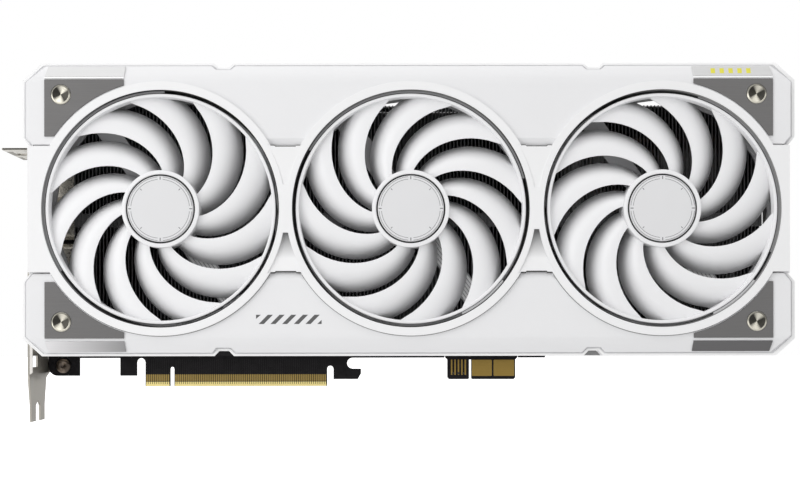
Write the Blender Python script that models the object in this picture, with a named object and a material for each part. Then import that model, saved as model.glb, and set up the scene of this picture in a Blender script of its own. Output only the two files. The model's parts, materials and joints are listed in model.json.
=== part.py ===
"""Triple-fan graphics card with a two-slot bracket, built as separate pieces.

Sizes are millimetres and become metres when a mesh is made. X runs along the card from the bracket to
the far end, Y from the fans to the backplate and Z up from the slot. Sizes in X are measured from the
middle fan's axis, and the whole card hangs on one empty that puts the origin at the middle of the long
row of slot contacts, on the bottom edge of the board.
"""

import math

import bmesh
import bpy
from mathutils import Vector

MM = 0.001
GAP = 0.3
OVERCUT = 4.0

# Board and slot edge, from the slot standard
BOARD_THICKNESS = 1.57
LONG_EDGE = 71.65
KEY_WIDTH = 1.9
SHORT_EDGE = 11.65
LONG_EDGE_CENTRE_X = -75.1
KEY_TOP_Z = 9.1
BOARD_LEFT_X = -169.9
BOARD_RIGHT_X = 63.0
BOARD_BOTTOM_Z = 13.2
BOARD_TOP_Z = 118.0
EDGE_BEVEL = 1.3

# Housing: a front shell with folded edges, on a flange that stands out all round it
SHELL_LEFT_X = -167.0
SHELL_RIGHT_X = 164.5
SHELL_BOTTOM_Z = 16.05
SHELL_TOP_Z = 141.0
SHELL_ENDS_X = (-165.7, 163.8)
FLANGE_LEFT_X = -169.0
FLANGE_RIGHT_X = 167.2
FLANGE_BOTTOM_Z = 14.6
FLANGE_TOP_Z = 142.4
FLANGE_ENDS_X = (-166.5, 165.0)
FLANGE_FRONT_Y = -52.0
CORNER_X = 8.2
CORNER_Z = 7.4
BLOCK_CORNER_X = 3.0
BLOCK_CORNER_Z = 3.7
PANEL_FRONT_Y = -56.0
HOUSING_BACK_Y = -20.0
CHAMFER_RISE = 6.15
CHAMFER_DEPTH = 3.0
CAVITY_X = (-164.6, 162.6)
CAVITY_Z = (19.2, 137.8)
CAVITY_FRONT_Y = -51.8
NOTCH_X = (-81.4, 79.5)
SHELL_NOTCH = (10.3, 6.5)
FLANGE_NOTCH = (8.5, 4.3)
NOTCH_DEPTH = {"top": 1.75, "bottom": 2.2}
BOSS_X = (-54.2, 54.5)
BOSS_Z = (28.0, 122.0)
BOSS_RADIUS = 3.0

# Bezel with the three rims
FAN_X = {"left": -108.4, "middle": 0.0, "right": 108.9}
FAN_Z = 78.4
RIM_FRONT_Y = -57.5
RIM_OUTER = 55.0
RIM_INNER = 51.2
DUCT_OUTER = 52.7
RIM_BACK_Y = -56.3
BRIDGE_FRONT_Y = -56.9
BRIDGE_BACK_Y = -54.8
DUCT_BACK_Y = -40.3
BRIDGE_BOTTOM_Z = 50.8
BRIDGE_TOP_Z = 105.8
ROUND_STEPS = 36

# Fan wheels; the angle of a blade's tip is taken at the front edge
BLADES = 11
BLADE_SWEEP = 52.0
BLADE_CHORD = 27.0
BLADE_THICKNESS = 1.2
BLADE_FRONT_Y = -54.0
BLADE_DEPTH_ROOT = 10.6
BLADE_DEPTH_TIP = 8.5
BLADE_CURVE = 1.8
TIP_ANGLE = {"left": 107.2, "middle": 67.3, "right": 129.8}
HAND = {"left": 1.0, "middle": -1.0, "right": 1.0}
HUB_OUTER = 16.6
HUB_INNER = 14.4
HUB_FRONT_Y = -55.0
HUB_WALL_Y = -53.2
HUB_BACK_Y = -42.0
RING_OUTER = 49.8
RING_INNER = 48.4
RING_FRONT_Y = -54.6
RING_BACK_Y = -44.0
CAP_RADIUS = 14.8
CAP_FRONT_Y = -57.0

# Motor inside each hub
SHAFT_RADIUS = 1.5
BEARING_RADIUS = 4.5
STATOR_RADIUS = 11.4
STATOR_TEETH = 6
MAGNET_INNER = 12.0
MAGNET_OUTER = 14.1
FRAME_FRONT_Y = -40.0
FRAME_BACK_Y = -37.5
FRAME_RING_INNER = 49.5
FRAME_RING_OUTER = 52.6
FRAME_HUB_RADIUS = 16.0
STRUT_WIDTH = 9.0
STRUT_ANGLE = 126.0
STRUTS = 2

# Corner trims and their screws
TRIM_LENGTH = 34.4
TRIM_THICKNESS = 0.5
TRIM_REACH = 5.55
TRIM_ARC = 55.6
TRIM_INNER_Z = {"top": 109.8, "bottom": 46.8}
TRIM_OUTER_X = {"left": -158.6, "right": 156.8}
SCREW_X = {"left": -151.4, "right": 149.7}
SCREW_Z = {"top": 127.9, "bottom": 29.5}
SCREW_HEAD = 4.2
SCREW_DISH = 3.2
SCREW_SHANK = 1.5

# Cooler
FIN_LEFT_X = -150.0
FIN_RIGHT_X = 157.0
FIN_PITCH = 6.1
FIN_THICKNESS = 1.0
FIN_FRONT_Y = -36.5
FIN_BASE_FRONT_Y = -15.0
FIN_BASE_BACK_Y = -12.6
FIN_BOTTOM_Z = 22.0
FIN_TOP_Z = 126.0
FIN_STEP_X = -54.6
FIN_STEP_TOP_Z = 130.2
VENT_LEFT_X = 68.0
VENT_RIGHT_X = 148.0
VENT_BOTTOM_Z = 36.0
VENT_TOP_Z = 114.0
PIPES = 5
PIPE_RADIUS = 2.9
PIPE_Y = -9.4
PIPE_PITCH_MIDDLE = 8.0
PIPE_PITCH_END = 19.0
CHIP_X = -10.0
CHIP_Z = 74.0
COLD_PLATE_X = 66.0
COLD_PLATE_Z = 62.0
COLD_PLATE_BACK_Y = -3.2
POST_INSET = 4.0
POST_RADIUS = 2.4
PACKAGE_SIZE = 36.0
PACKAGE_HEIGHT = 1.2
DIE_X = 22.0
DIE_Z = 26.0
MEMORY_X = 12.0
MEMORY_Z = 14.0
MEMORY_HEIGHT = 1.1
MEMORY_ROWS = 4
MEMORY_SPACE = 2.0
MEMORY_REACH = 39.0

# Power tab
TAB_LEFT_X = 17.1
TAB_RIGHT_X = 49.0
TAB_BOTTOM_Z = 3.1
TAB_SHOULDER_Z = 12.3
TAB_TOP_Z = 22.0
TAB_SLOT_X = 27.3
TAB_SLOT_WIDTH = 1.0
TAB_SHOULDER = 1.0
SOCKET_X = (19.0, 47.0)
SOCKET_Z = (16.5, 32.0)
SOCKET_FRONT_Y = -6.5

# Backplate
BACKPLATE_X = (-166.0, 163.5)
BACKPLATE_Z = (16.5, 131.8)
PLATE_BOSS_X = (-140.0, -60.0, 50.0)
PLATE_BOSS_Z = (30.0, 110.0)
PLATE_BOSS_RADIUS = 3.0
BACKPLATE_FRONT_Y = 2.8
BACKPLATE_BACK_Y = 5.0
VENT_SLOTS = 8
VENT_SLOT_WIDTH = 3.6

# Bracket and ports
BRACKET_X = -171.1
SHEET = 0.9
BRACKET_NEAR_Y = 3.2
SLOT_WIDTH = 18.42
SLOT_PITCH = 20.32
BRACKET_FAR_Y = BRACKET_NEAR_Y - SLOT_WIDTH - SLOT_PITCH
BRACKET_TOP_Z = 107.5
FOOT_LENGTH = 11.4
TONGUE_WIDTH = 10.2
TONGUE_TIP_Z = -15.1
TONGUE_SHOULDER_Z = 4.0
TONGUE_NECK_Z = -8.0
TONGUE_FORK_Z = -5.4
WINDOW_Y = (-25.0, -14.0)
WINDOW_Z = (9.5, 14.6)
GRILLE_Y = (-31.5, -19.5)
SCREW_NOTCH = 4.42
SCREW_NOTCH_DEPTH = 5.0
SCREW_NOTCH_OUT = 6.35
PORTS = 5
PORT_FIRST_Z = 24.0
PORT_PITCH = 17.4
PORT_WIDTH = 15.4
PORT_BACK_Y = -1.1
PORT_FRONT_Y = -7.3
PORT_DEPTH = 18.0
PORT_REACH = 0.9
PORT_WALL = 0.7
PORT_CORNER = 2.2
PORT_TONGUE = 10.0
TAB_SCREW_X = -162.8
TAB_SCREW_Z = 9.6
TAB_SCREW_HEAD = 3.4
TAB_SCREW_SHANK = 1.4
EAR_Z = (6.6, 12.8)
EAR_LENGTH = 5.0

# Mode switch on the board's top edge
SWITCH_X = -121.0
SWITCH_LENGTH = 9.0
SWITCH_DEPTH = 4.0
SWITCH_HEIGHT = 4.5
SWITCH_TRAVEL = 2.0
SLIDER_LENGTH = 2.0


def clear_scene():
    """Remove every object that the open file starts with."""
    for thing in list(bpy.data.objects):
        bpy.data.objects.remove(thing, do_unlink=True)


def finish(name, colour, roughness, metallic=0.0):
    """Make a Principled material from a colour, a roughness and a metallic value."""
    material = bpy.data.materials.new(name)
    material.use_nodes = True
    shader = material.node_tree.nodes["Principled BSDF"]
    shader.inputs["Base Color"].default_value = (*colour, 1.0)
    shader.inputs["Roughness"].default_value = roughness
    shader.inputs["Metallic"].default_value = metallic
    material.diffuse_color = (*colour, 1.0)
    return material


def empty(name, x, z, parent=None):
    """Place an empty at a point of the card's own plane."""
    holder = bpy.data.objects.new(name, None)
    holder.location = (x * MM, 0.0, z * MM)
    holder.parent = parent
    bpy.context.scene.collection.objects.link(holder)
    return holder


def place(name, mesh, material, parent, smooth=False):
    """Turn a mesh in millimetres into a named object in metres."""
    bmesh.ops.recalc_face_normals(mesh, faces=mesh.faces)
    bmesh.ops.scale(mesh, vec=(MM, MM, MM), verts=mesh.verts)
    data = bpy.data.meshes.new(name)
    mesh.to_mesh(data)
    mesh.free()
    if smooth:
        data.shade_smooth()
        data.set_sharp_from_angle(angle=math.radians(35.0))
    piece = bpy.data.objects.new(name, data)
    piece.parent = parent
    if material is not None:
        data.materials.append(material)
    bpy.context.scene.collection.objects.link(piece)
    return piece


def combine(piece, operation, mesh):
    """Cut a mesh from a piece, or join it on, with a Boolean that stays on the piece."""
    count = len(piece.modifiers) + 1
    tool = place(f"{piece.name}_tool_{count}", mesh, None, piece.parent)
    tool.hide_render = True
    tool.display_type = "WIRE"
    modifier = piece.modifiers.new(tool.name, "BOOLEAN")
    modifier.operation = operation
    modifier.solver = "EXACT"
    modifier.object = tool


def arc(centre, radius, start, end, steps):
    """Points along an arc, with angles in degrees and both ends included."""
    angles = [math.radians(start + (end - start) * step / steps) for step in range(steps + 1)]
    return [(centre[0] + radius * math.cos(a), centre[1] + radius * math.sin(a)) for a in angles]


def circle(centre, radius, steps=ROUND_STEPS):
    """Points of a whole circle."""
    return arc(centre, radius, 0.0, 360.0, steps)[:-1]


def rectangle(left, bottom, right, top):
    """Corners of a rectangle."""
    return [(left, bottom), (right, bottom), (right, top), (left, top)]


def spot(axis, across, up, along):
    """Place a point of an outline that is drawn square to X, Y or Z."""
    if axis == "X":
        return Vector((along, across, up))
    if axis == "Y":
        return Vector((across, along, up))
    return Vector((across, up, along))


def add_prism(mesh, axis, outline, start, end, holes=()):
    """Fill an outline with its holes and extrude it along an axis."""
    edges = []
    for loop in (outline, *holes):
        corners = [mesh.verts.new(spot(axis, across, up, start)) for across, up in loop]
        for index, corner in enumerate(corners):
            edges.append(mesh.edges.new((corner, corners[index - 1])))
    filled = bmesh.ops.triangle_fill(mesh, use_beauty=True, use_dissolve=False, edges=edges)
    faces = [item for item in filled["geom"] if isinstance(item, bmesh.types.BMFace)]
    grown = bmesh.ops.extrude_face_region(mesh, geom=faces, use_keep_orig=True)
    moved = [item for item in grown["geom"] if isinstance(item, bmesh.types.BMVert)]
    bmesh.ops.translate(mesh, vec=spot(axis, 0.0, 0.0, end - start), verts=moved)


def prism(axis, outline, start, end, holes=()):
    """A new mesh that holds one extruded outline."""
    mesh = bmesh.new()
    add_prism(mesh, axis, outline, start, end, holes)
    return mesh


def add_block(mesh, x, y, z):
    """Add a box from its range in X, Y and Z."""
    add_prism(mesh, "Y", rectangle(x[0], z[0], x[1], z[1]), y[0], y[1])


def block(x, y, z):
    """A new mesh that holds one box."""
    mesh = bmesh.new()
    add_block(mesh, x, y, z)
    return mesh


def add_turned(mesh, profile, steps, centre=(0.0, 0.0), closed=True):
    """Spin a profile of radius and Y about an axis along Y."""
    turned = bmesh.new()
    points = [turned.verts.new((radius, y, 0.0)) for radius, y in profile]
    pairs = list(zip(points, points[1:]))
    if closed:
        pairs.append((points[-1], points[0]))
    edges = [turned.edges.new(pair) for pair in pairs]
    bmesh.ops.spin(
        turned,
        geom=points + edges,
        cent=(0.0, 0.0, 0.0),
        axis=(0.0, 1.0, 0.0),
        angle=2.0 * math.pi,
        steps=steps,
        use_merge=True,
    )
    bmesh.ops.remove_doubles(turned, verts=turned.verts, dist=0.001)
    bmesh.ops.translate(turned, vec=(centre[0], 0.0, centre[1]), verts=turned.verts)
    data = bpy.data.meshes.new("turned")
    turned.to_mesh(data)
    turned.free()
    mesh.from_mesh(data)
    bpy.data.meshes.remove(data)


def turned(profile, steps, closed=True):
    """A new mesh that holds one turned profile."""
    mesh = bmesh.new()
    add_turned(mesh, profile, steps, closed=closed)
    return mesh


def disc_profile(radius, front, back):
    """Profile of a plain disc, open on its axis."""
    return [(0.0, front), (radius, front), (radius, back), (0.0, back)]


def sleeve_profile(inner, outer, front, back):
    """Profile of a plain sleeve."""
    return [(inner, front), (outer, front), (outer, back), (inner, back)]


def fan_centre(side):
    """Where a fan's axis crosses the card's own plane."""
    return (FAN_X[side], FAN_Z)


def housing_outline(left, right, low, high, ends):
    """Outline with chamfered corners, whose ends step in beside the rims."""
    below, above = BRIDGE_BOTTOM_Z - GAP, BRIDGE_TOP_Z + GAP

    def end(edge, step, inward):
        """One end of the outline, from the bottom up."""
        return [
            (edge + inward * CORNER_X, low),
            (edge, low + CORNER_Z),
            (edge, below - BLOCK_CORNER_Z),
            (edge + inward * BLOCK_CORNER_X, below),
            (step, below),
            (step, above),
            (edge + inward * BLOCK_CORNER_X, above),
            (edge, above + BLOCK_CORNER_Z),
            (edge, high - CORNER_Z),
            (edge + inward * CORNER_X, high),
        ]

    return end(right, ends[1], -1.0) + end(left, ends[0], 1.0)[::-1]


def chamfer_cutter(mesh, edge_z, outward):
    """Wedge that takes the front edge off along the top or the bottom of the shell."""
    inner_z = edge_z - outward * CHAMFER_RISE
    slope = CHAMFER_RISE / CHAMFER_DEPTH
    outline = [
        (PANEL_FRONT_Y - OVERCUT, inner_z - outward * OVERCUT * slope),
        (PANEL_FRONT_Y - OVERCUT, edge_z + outward * OVERCUT * slope),
        (PANEL_FRONT_Y + CHAMFER_DEPTH + OVERCUT, edge_z + outward * OVERCUT * slope),
    ]
    add_prism(mesh, "X", outline, SHELL_LEFT_X - OVERCUT, SHELL_RIGHT_X + OVERCUT)


def notch_outline(x, edge_z, outward, depth, widths):
    """Trapezoid notch in the top or bottom edge, from its width at the edge and at its floor."""
    wide, narrow = widths
    flare = OVERCUT * (wide - narrow) / (2.0 * depth)
    return [
        (x - narrow / 2.0, edge_z - outward * depth),
        (x + narrow / 2.0, edge_z - outward * depth),
        (x + wide / 2.0 + flare, edge_z + outward * OVERCUT),
        (x - wide / 2.0 - flare, edge_z + outward * OVERCUT),
    ]


def cut_notches(shroud):
    """Notches in both long edges: one in the shell and a narrower one right through the flange."""
    front_y = PANEL_FRONT_Y - OVERCUT
    shell, flange = bmesh.new(), bmesh.new()
    for x in NOTCH_X:
        for outward, depth, shell_z, flange_z in (
            (1.0, NOTCH_DEPTH["top"], SHELL_TOP_Z, FLANGE_TOP_Z),
            (-1.0, NOTCH_DEPTH["bottom"], SHELL_BOTTOM_Z, FLANGE_BOTTOM_Z),
        ):
            shallow = notch_outline(x, shell_z, outward, depth, SHELL_NOTCH)
            through = notch_outline(x, flange_z, outward, depth, FLANGE_NOTCH)
            add_prism(shell, "Y", shallow, front_y, FLANGE_FRONT_Y)
            add_prism(flange, "Y", through, front_y, HOUSING_BACK_Y + OVERCUT)
    combine(shroud, "DIFFERENCE", shell)
    combine(shroud, "DIFFERENCE", flange)


def build_housing(card, white):
    """Open-backed housing: bed for the bezel, fan openings and bosses that stand on the fins."""
    shell = housing_outline(SHELL_LEFT_X, SHELL_RIGHT_X, SHELL_BOTTOM_Z, SHELL_TOP_Z, SHELL_ENDS_X)
    shroud = place("shroud", prism("Y", shell, PANEL_FRONT_Y, HOUSING_BACK_Y), white, card)
    wedges = bmesh.new()
    chamfer_cutter(wedges, SHELL_TOP_Z, 1.0)
    chamfer_cutter(wedges, SHELL_BOTTOM_Z, -1.0)
    combine(shroud, "DIFFERENCE", wedges)
    flange = housing_outline(FLANGE_LEFT_X, FLANGE_RIGHT_X, FLANGE_BOTTOM_Z, FLANGE_TOP_Z, FLANGE_ENDS_X)
    combine(shroud, "UNION", prism("Y", flange, FLANGE_FRONT_Y, HOUSING_BACK_Y))
    cavity = rectangle(CAVITY_X[0], CAVITY_Z[0], CAVITY_X[1], CAVITY_Z[1])
    combine(shroud, "DIFFERENCE", prism("Y", cavity, CAVITY_FRONT_Y, HOUSING_BACK_Y + OVERCUT))

    front_y = RIM_FRONT_Y - OVERCUT
    bridge_bed = rectangle(
        FLANGE_LEFT_X - OVERCUT, BRIDGE_BOTTOM_Z - GAP, FLANGE_RIGHT_X + OVERCUT, BRIDGE_TOP_Z + GAP
    )
    combine(shroud, "DIFFERENCE", prism("Y", bridge_bed, front_y, BRIDGE_BACK_Y + GAP))

    holes = bmesh.new()
    for side in FAN_X:
        add_prism(holes, "Y", circle(fan_centre(side), DUCT_OUTER + GAP), front_y, CAVITY_FRONT_Y + OVERCUT)
    for x in SCREW_X.values():
        for z in SCREW_Z.values():
            add_prism(holes, "Y", circle((x, z), SCREW_SHANK + GAP, 10), front_y, CAVITY_FRONT_Y + OVERCUT)
    combine(shroud, "DIFFERENCE", holes)
    cut_notches(shroud)
    bosses = bmesh.new()
    for x in BOSS_X:
        for z in BOSS_Z:
            add_prism(bosses, "Y", circle((x, z), BOSS_RADIUS, 8), CAVITY_FRONT_Y - 1.0, FIN_FRONT_Y - GAP)
    combine(shroud, "UNION", bosses)


def build_bezel(card, white):
    """Bridge plate and the three rims, each with the duct that its fan turns in."""
    plate = rectangle(SHELL_ENDS_X[0], BRIDGE_BOTTOM_Z, SHELL_ENDS_X[1], BRIDGE_TOP_Z)
    bezel = place("fan_bezel", prism("Y", plate, BRIDGE_FRONT_Y, BRIDGE_BACK_Y), white, card)
    middle_of_duct = (RIM_INNER + DUCT_OUTER) / 2.0
    openings = bmesh.new()
    for side in FAN_X:
        hole = circle(fan_centre(side), middle_of_duct)
        add_prism(openings, "Y", hole, RIM_FRONT_Y - OVERCUT, CAVITY_FRONT_Y)
    combine(bezel, "DIFFERENCE", openings)
    profile = [
        (RIM_INNER, RIM_FRONT_Y),
        (RIM_OUTER, RIM_FRONT_Y),
        (RIM_OUTER, RIM_BACK_Y),
        (DUCT_OUTER, RIM_BACK_Y),
        (DUCT_OUTER, DUCT_BACK_Y),
        (RIM_INNER, DUCT_BACK_Y),
    ]
    outer_rims = bmesh.new()
    for side in ("left", "right"):
        add_turned(outer_rims, profile, ROUND_STEPS, fan_centre(side))
    combine(bezel, "UNION", outer_rims)
    middle_rim = bmesh.new()
    add_turned(middle_rim, profile, ROUND_STEPS, fan_centre("middle"))
    combine(bezel, "UNION", middle_rim)


def build_trims(card, brushed, steel):
    """Four folded corner plates, each with its screw."""
    normal_z = CHAMFER_DEPTH / math.hypot(CHAMFER_DEPTH, CHAMFER_RISE)
    normal_y = -CHAMFER_RISE / math.hypot(CHAMFER_DEPTH, CHAMFER_RISE)
    for level, outward, edge_z in (("top", 1.0, SHELL_TOP_Z), ("bottom", -1.0, SHELL_BOTTOM_Z)):
        fold_z = edge_z - outward * CHAMFER_RISE

        def fold(offset):
            """Fold and end of a line that runs at an offset outside the panel and its chamfer."""
            shift = offset * (1.0 + normal_y) / normal_z
            end = (
                PANEL_FRONT_Y + CHAMFER_DEPTH * TRIM_REACH / CHAMFER_RISE + offset * normal_y,
                fold_z + outward * (TRIM_REACH + offset * normal_z),
            )
            return [(PANEL_FRONT_Y - offset, fold_z + outward * shift), end]

        under, over = fold(GAP), fold(GAP + TRIM_THICKNESS)
        inner_z = TRIM_INNER_Z[level]
        outline = [(PANEL_FRONT_Y - GAP, inner_z), *under, *reversed(over)]
        outline.append((PANEL_FRONT_Y - GAP - TRIM_THICKNESS, inner_z))
        for side in TRIM_OUTER_X:
            inward = 1.0 if side == "left" else -1.0
            outer_x = TRIM_OUTER_X[side]
            sheet = prism("X", outline, outer_x, outer_x + inward * TRIM_LENGTH)
            trim = place(f"trim_{level}_{side}", sheet, brushed, card)
            front_y = RIM_FRONT_Y - OVERCUT
            cutter = prism("Y", circle(fan_centre(side), TRIM_ARC, 64), front_y, CAVITY_FRONT_Y)
            head = (SCREW_X[side], SCREW_Z[level])
            add_prism(cutter, "Y", circle(head, SCREW_HEAD + GAP, 20), front_y, CAVITY_FRONT_Y)
            combine(trim, "DIFFERENCE", cutter)
            build_trim_screw(f"trim_screw_{level}_{side}", head, card, steel)


def build_trim_screw(name, head, card, steel):
    """Dished screw head on a plain shank."""
    holder = empty(f"{name}_place", head[0], head[1], card)
    seat_y = PANEL_FRONT_Y - GAP
    profile = [
        (0.0, seat_y - 0.3),
        (1.2, seat_y - 0.3),
        (SCREW_DISH, seat_y - 0.95),
        (SCREW_HEAD, seat_y - 0.6),
        (SCREW_HEAD, seat_y),
        (SCREW_SHANK, seat_y),
        (SCREW_SHANK, CAVITY_FRONT_Y - GAP),
        (0.0, CAVITY_FRONT_Y - GAP),
    ]
    place(name, turned(profile, 12, closed=False), steel, holder, smooth=True)


def add_blade(mesh, tip_angle, hand):
    """Loft one swept blade from inside the hub wall to inside the outer ring."""
    stations = [HUB_OUTER - 1.2, 23.0, 31.0, 39.5, RING_INNER + 0.7]
    chord_steps = 2
    sections = []
    for radius in stations:
        share = (radius - HUB_OUTER) / (RING_INNER - HUB_OUTER)
        share = min(max(share, 0.0), 1.0)
        sweep = BLADE_SWEEP * (1.0 - share) ** 0.9
        depth = BLADE_DEPTH_ROOT + (BLADE_DEPTH_TIP - BLADE_DEPTH_ROOT) * share
        front, back = [], []
        for step in range(chord_steps + 1):
            along = step / chord_steps
            angle = math.radians(tip_angle - hand * (sweep + BLADE_CHORD * along))
            y = BLADE_FRONT_Y + depth * along ** BLADE_CURVE
            x, z = radius * math.cos(angle), radius * math.sin(angle)
            front.append(mesh.verts.new((x, y, z)))
            back.append(mesh.verts.new((x, y + BLADE_THICKNESS, z)))
        sections.append(front + back[::-1])
    count = len(sections[0])
    for inner, outer in zip(sections, sections[1:]):
        for index in range(count):
            following = (index + 1) % count
            mesh.faces.new((inner[index], inner[following], outer[following], outer[index]))
    for section in (sections[0], sections[-1]):
        for step in range(chord_steps):
            facing = count - 1 - step
            mesh.faces.new((section[step], section[step + 1], section[facing - 1], section[facing]))


def build_rotor(side, axis, white, cap_white, steel, magnet):
    """Fan wheel on its axis: hub, blades and ring in one, with cap, shaft and magnet."""
    hub_profile = [
        (0.0, HUB_FRONT_Y),
        (HUB_OUTER - 0.8, HUB_FRONT_Y),
        (HUB_OUTER, HUB_FRONT_Y + 0.8),
        (HUB_OUTER, HUB_BACK_Y),
        (HUB_INNER, HUB_BACK_Y),
        (HUB_INNER, HUB_WALL_Y),
        (0.0, HUB_WALL_Y),
    ]
    steps = 2 * BLADES
    rotor = place(f"rotor_{side}", turned(hub_profile, steps, closed=False), white, axis, smooth=True)
    blades = bmesh.new()
    for blade in range(BLADES):
        add_blade(blades, TIP_ANGLE[side] + 360.0 * blade / BLADES, HAND[side])
    bmesh.ops.triangulate(blades, faces=blades.faces)
    combine(rotor, "UNION", blades)
    ring_profile = sleeve_profile(RING_INNER, RING_OUTER, RING_FRONT_Y, RING_BACK_Y)
    combine(rotor, "UNION", turned(ring_profile, 3 * BLADES))

    cap_profile = [
        (0.0, CAP_FRONT_Y),
        (CAP_RADIUS - 1.0, CAP_FRONT_Y),
        (CAP_RADIUS, CAP_FRONT_Y + 0.7),
        (CAP_RADIUS, HUB_FRONT_Y - GAP),
        (0.0, HUB_FRONT_Y - GAP),
    ]
    place(f"hub_cap_{side}", turned(cap_profile, 24, closed=False), cap_white, axis, smooth=True)
    shaft_profile = disc_profile(SHAFT_RADIUS, HUB_WALL_Y + GAP, FRAME_BACK_Y - 1.0)
    place(f"shaft_{side}", turned(shaft_profile, 12, closed=False), steel, axis, smooth=True)
    magnet_profile = sleeve_profile(MAGNET_INNER, MAGNET_OUTER, HUB_WALL_Y + 1.0, HUB_BACK_Y - 1.0)
    place(f"magnet_ring_{side}", turned(magnet_profile, 16), magnet, axis, smooth=True)


def stator_outline():
    """Star of pole teeth round the bearing."""
    points = []
    root = 7.0
    for tooth in range(STATOR_TEETH):
        middle = 360.0 * tooth / STATOR_TEETH
        corners = [(root, -22.0), (root, -12.0), (STATOR_RADIUS, -16.0), (STATOR_RADIUS, 16.0), (root, 12.0)]
        for radius, offset in corners:
            points += arc((0.0, 0.0), radius, middle + offset, middle + offset, 1)[:1]
    return points


def build_fan_base(side, card, grey, iron, bronze):
    """Fixed half of a fan: frame with struts, stator and bearing sleeve."""
    holder = empty(f"fan_base_{side}", *fan_centre(side), card)
    bore = BEARING_RADIUS + GAP
    hub_profile = sleeve_profile(bore, FRAME_HUB_RADIUS, FRAME_FRONT_Y, FRAME_BACK_Y)
    frame = place(f"fan_frame_{side}", turned(hub_profile, 16), grey, holder)
    struts = bmesh.new()
    for strut in range(STRUTS):
        angle = math.radians(STRUT_ANGLE + 360.0 * strut / STRUTS)
        along = Vector((math.cos(angle), math.sin(angle)))
        across = Vector((-along.y, along.x)) * STRUT_WIDTH / 2.0
        inner = along * (FRAME_HUB_RADIUS - 2.0)
        outer = along * (FRAME_RING_INNER + 1.2)
        corners = [inner - across, outer - across, outer + across, inner + across]
        add_prism(struts, "Y", corners, FRAME_FRONT_Y + 0.4, FRAME_BACK_Y - 0.4)
    combine(frame, "UNION", struts)
    ring = sleeve_profile(FRAME_RING_INNER, FRAME_RING_OUTER, FRAME_FRONT_Y, FRAME_BACK_Y)
    combine(frame, "UNION", turned(ring, 24))

    stator_front, stator_back = HUB_WALL_Y + 1.6, FRAME_FRONT_Y - GAP
    star = prism("Y", stator_outline(), stator_front, stator_back, [circle((0.0, 0.0), bore, 12)])
    place(f"stator_{side}", star, iron, holder)
    bearing = sleeve_profile(SHAFT_RADIUS + GAP, BEARING_RADIUS, HUB_WALL_Y + 1.2, FRAME_BACK_Y - 0.2)
    place(f"bearing_{side}", turned(bearing, 12), bronze, holder, smooth=True)


def fin_outline():
    """Comb of fins standing on one base, seen from above."""
    count = int((FIN_RIGHT_X - FIN_LEFT_X - FIN_THICKNESS) / FIN_PITCH)
    points = [(FIN_RIGHT_X, FIN_BASE_BACK_Y), (FIN_LEFT_X, FIN_BASE_BACK_Y)]
    pitch = (FIN_RIGHT_X - FIN_LEFT_X - FIN_THICKNESS) / count
    for fin in range(count + 1):
        left = FIN_LEFT_X + fin * pitch
        right = left + FIN_THICKNESS
        if fin > 0:
            points.append((left, FIN_BASE_FRONT_Y))
        points += [(left, FIN_FRONT_Y), (right, FIN_FRONT_Y)]
        if fin < count:
            points.append((right, FIN_BASE_FRONT_Y))
    return points


def build_cooler(card, black, copper):
    """Fins on their base, heat pipes under it and the plate that presses on the chip."""
    fins = place("fin_stack", prism("Z", fin_outline(), FIN_BOTTOM_Z, FIN_STEP_TOP_Z), black, card)
    base_y = (FIN_BASE_FRONT_Y, FIN_BASE_BACK_Y + OVERCUT)
    flow = block((VENT_LEFT_X, VENT_RIGHT_X), base_y, (VENT_BOTTOM_Z, VENT_TOP_Z))
    low_side_x = (FIN_STEP_X, FIN_RIGHT_X + OVERCUT)
    low_side_y = (FIN_FRONT_Y - OVERCUT, FIN_BASE_BACK_Y + OVERCUT)
    add_block(flow, low_side_x, low_side_y, (FIN_TOP_Z, FIN_STEP_TOP_Z + OVERCUT))
    combine(fins, "DIFFERENCE", flow)

    spread_start, spread_end = 40.0, 95.0
    reach = [-142.0, -105.0, -85.0, -65.0, -50.0, 30.0, 45.0, 65.0, 85.0, 142.0]
    for pipe in range(PIPES):
        rank = pipe - (PIPES - 1) / 2.0
        data = bpy.data.curves.new(f"heat_pipe_{pipe + 1}", "CURVE")
        data.dimensions = "3D"
        data.bevel_depth = PIPE_RADIUS * MM
        data.bevel_resolution = 2
        data.use_fill_caps = True
        data.materials.append(copper)
        spline = data.splines.new("POLY")
        spline.points.add(len(reach) - 1)
        for point, x in zip(spline.points, reach):
            share = (abs(x - CHIP_X) - spread_start) / (spread_end - spread_start)
            share = min(max(share, 0.0), 1.0)
            ease = share * share * (3.0 - 2.0 * share)
            pitch = PIPE_PITCH_MIDDLE + (PIPE_PITCH_END - PIPE_PITCH_MIDDLE) * ease
            point.co = (x * MM, PIPE_Y * MM, (CHIP_Z + rank * pitch) * MM, 1.0)
        tube = bpy.data.objects.new(data.name, data)
        tube.parent = card
        bpy.context.scene.collection.objects.link(tube)

    plate_front = PIPE_Y + PIPE_RADIUS + GAP
    half_x, half_z = COLD_PLATE_X / 2.0, COLD_PLATE_Z / 2.0
    outline = rectangle(CHIP_X - half_x, CHIP_Z - half_z, CHIP_X + half_x, CHIP_Z + half_z)
    plate = place("cold_plate", prism("Y", outline, plate_front, COLD_PLATE_BACK_Y), copper, card)
    posts = bmesh.new()
    for x in (POST_INSET - half_x, half_x - POST_INSET):
        for z in (POST_INSET - half_z, half_z - POST_INSET):
            post = circle((CHIP_X + x, CHIP_Z + z), POST_RADIUS, 10)
            add_prism(posts, "Y", post, COLD_PLATE_BACK_Y - 1.0, -BOARD_THICKNESS / 2.0 - GAP)
    combine(plate, "UNION", posts)


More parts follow.
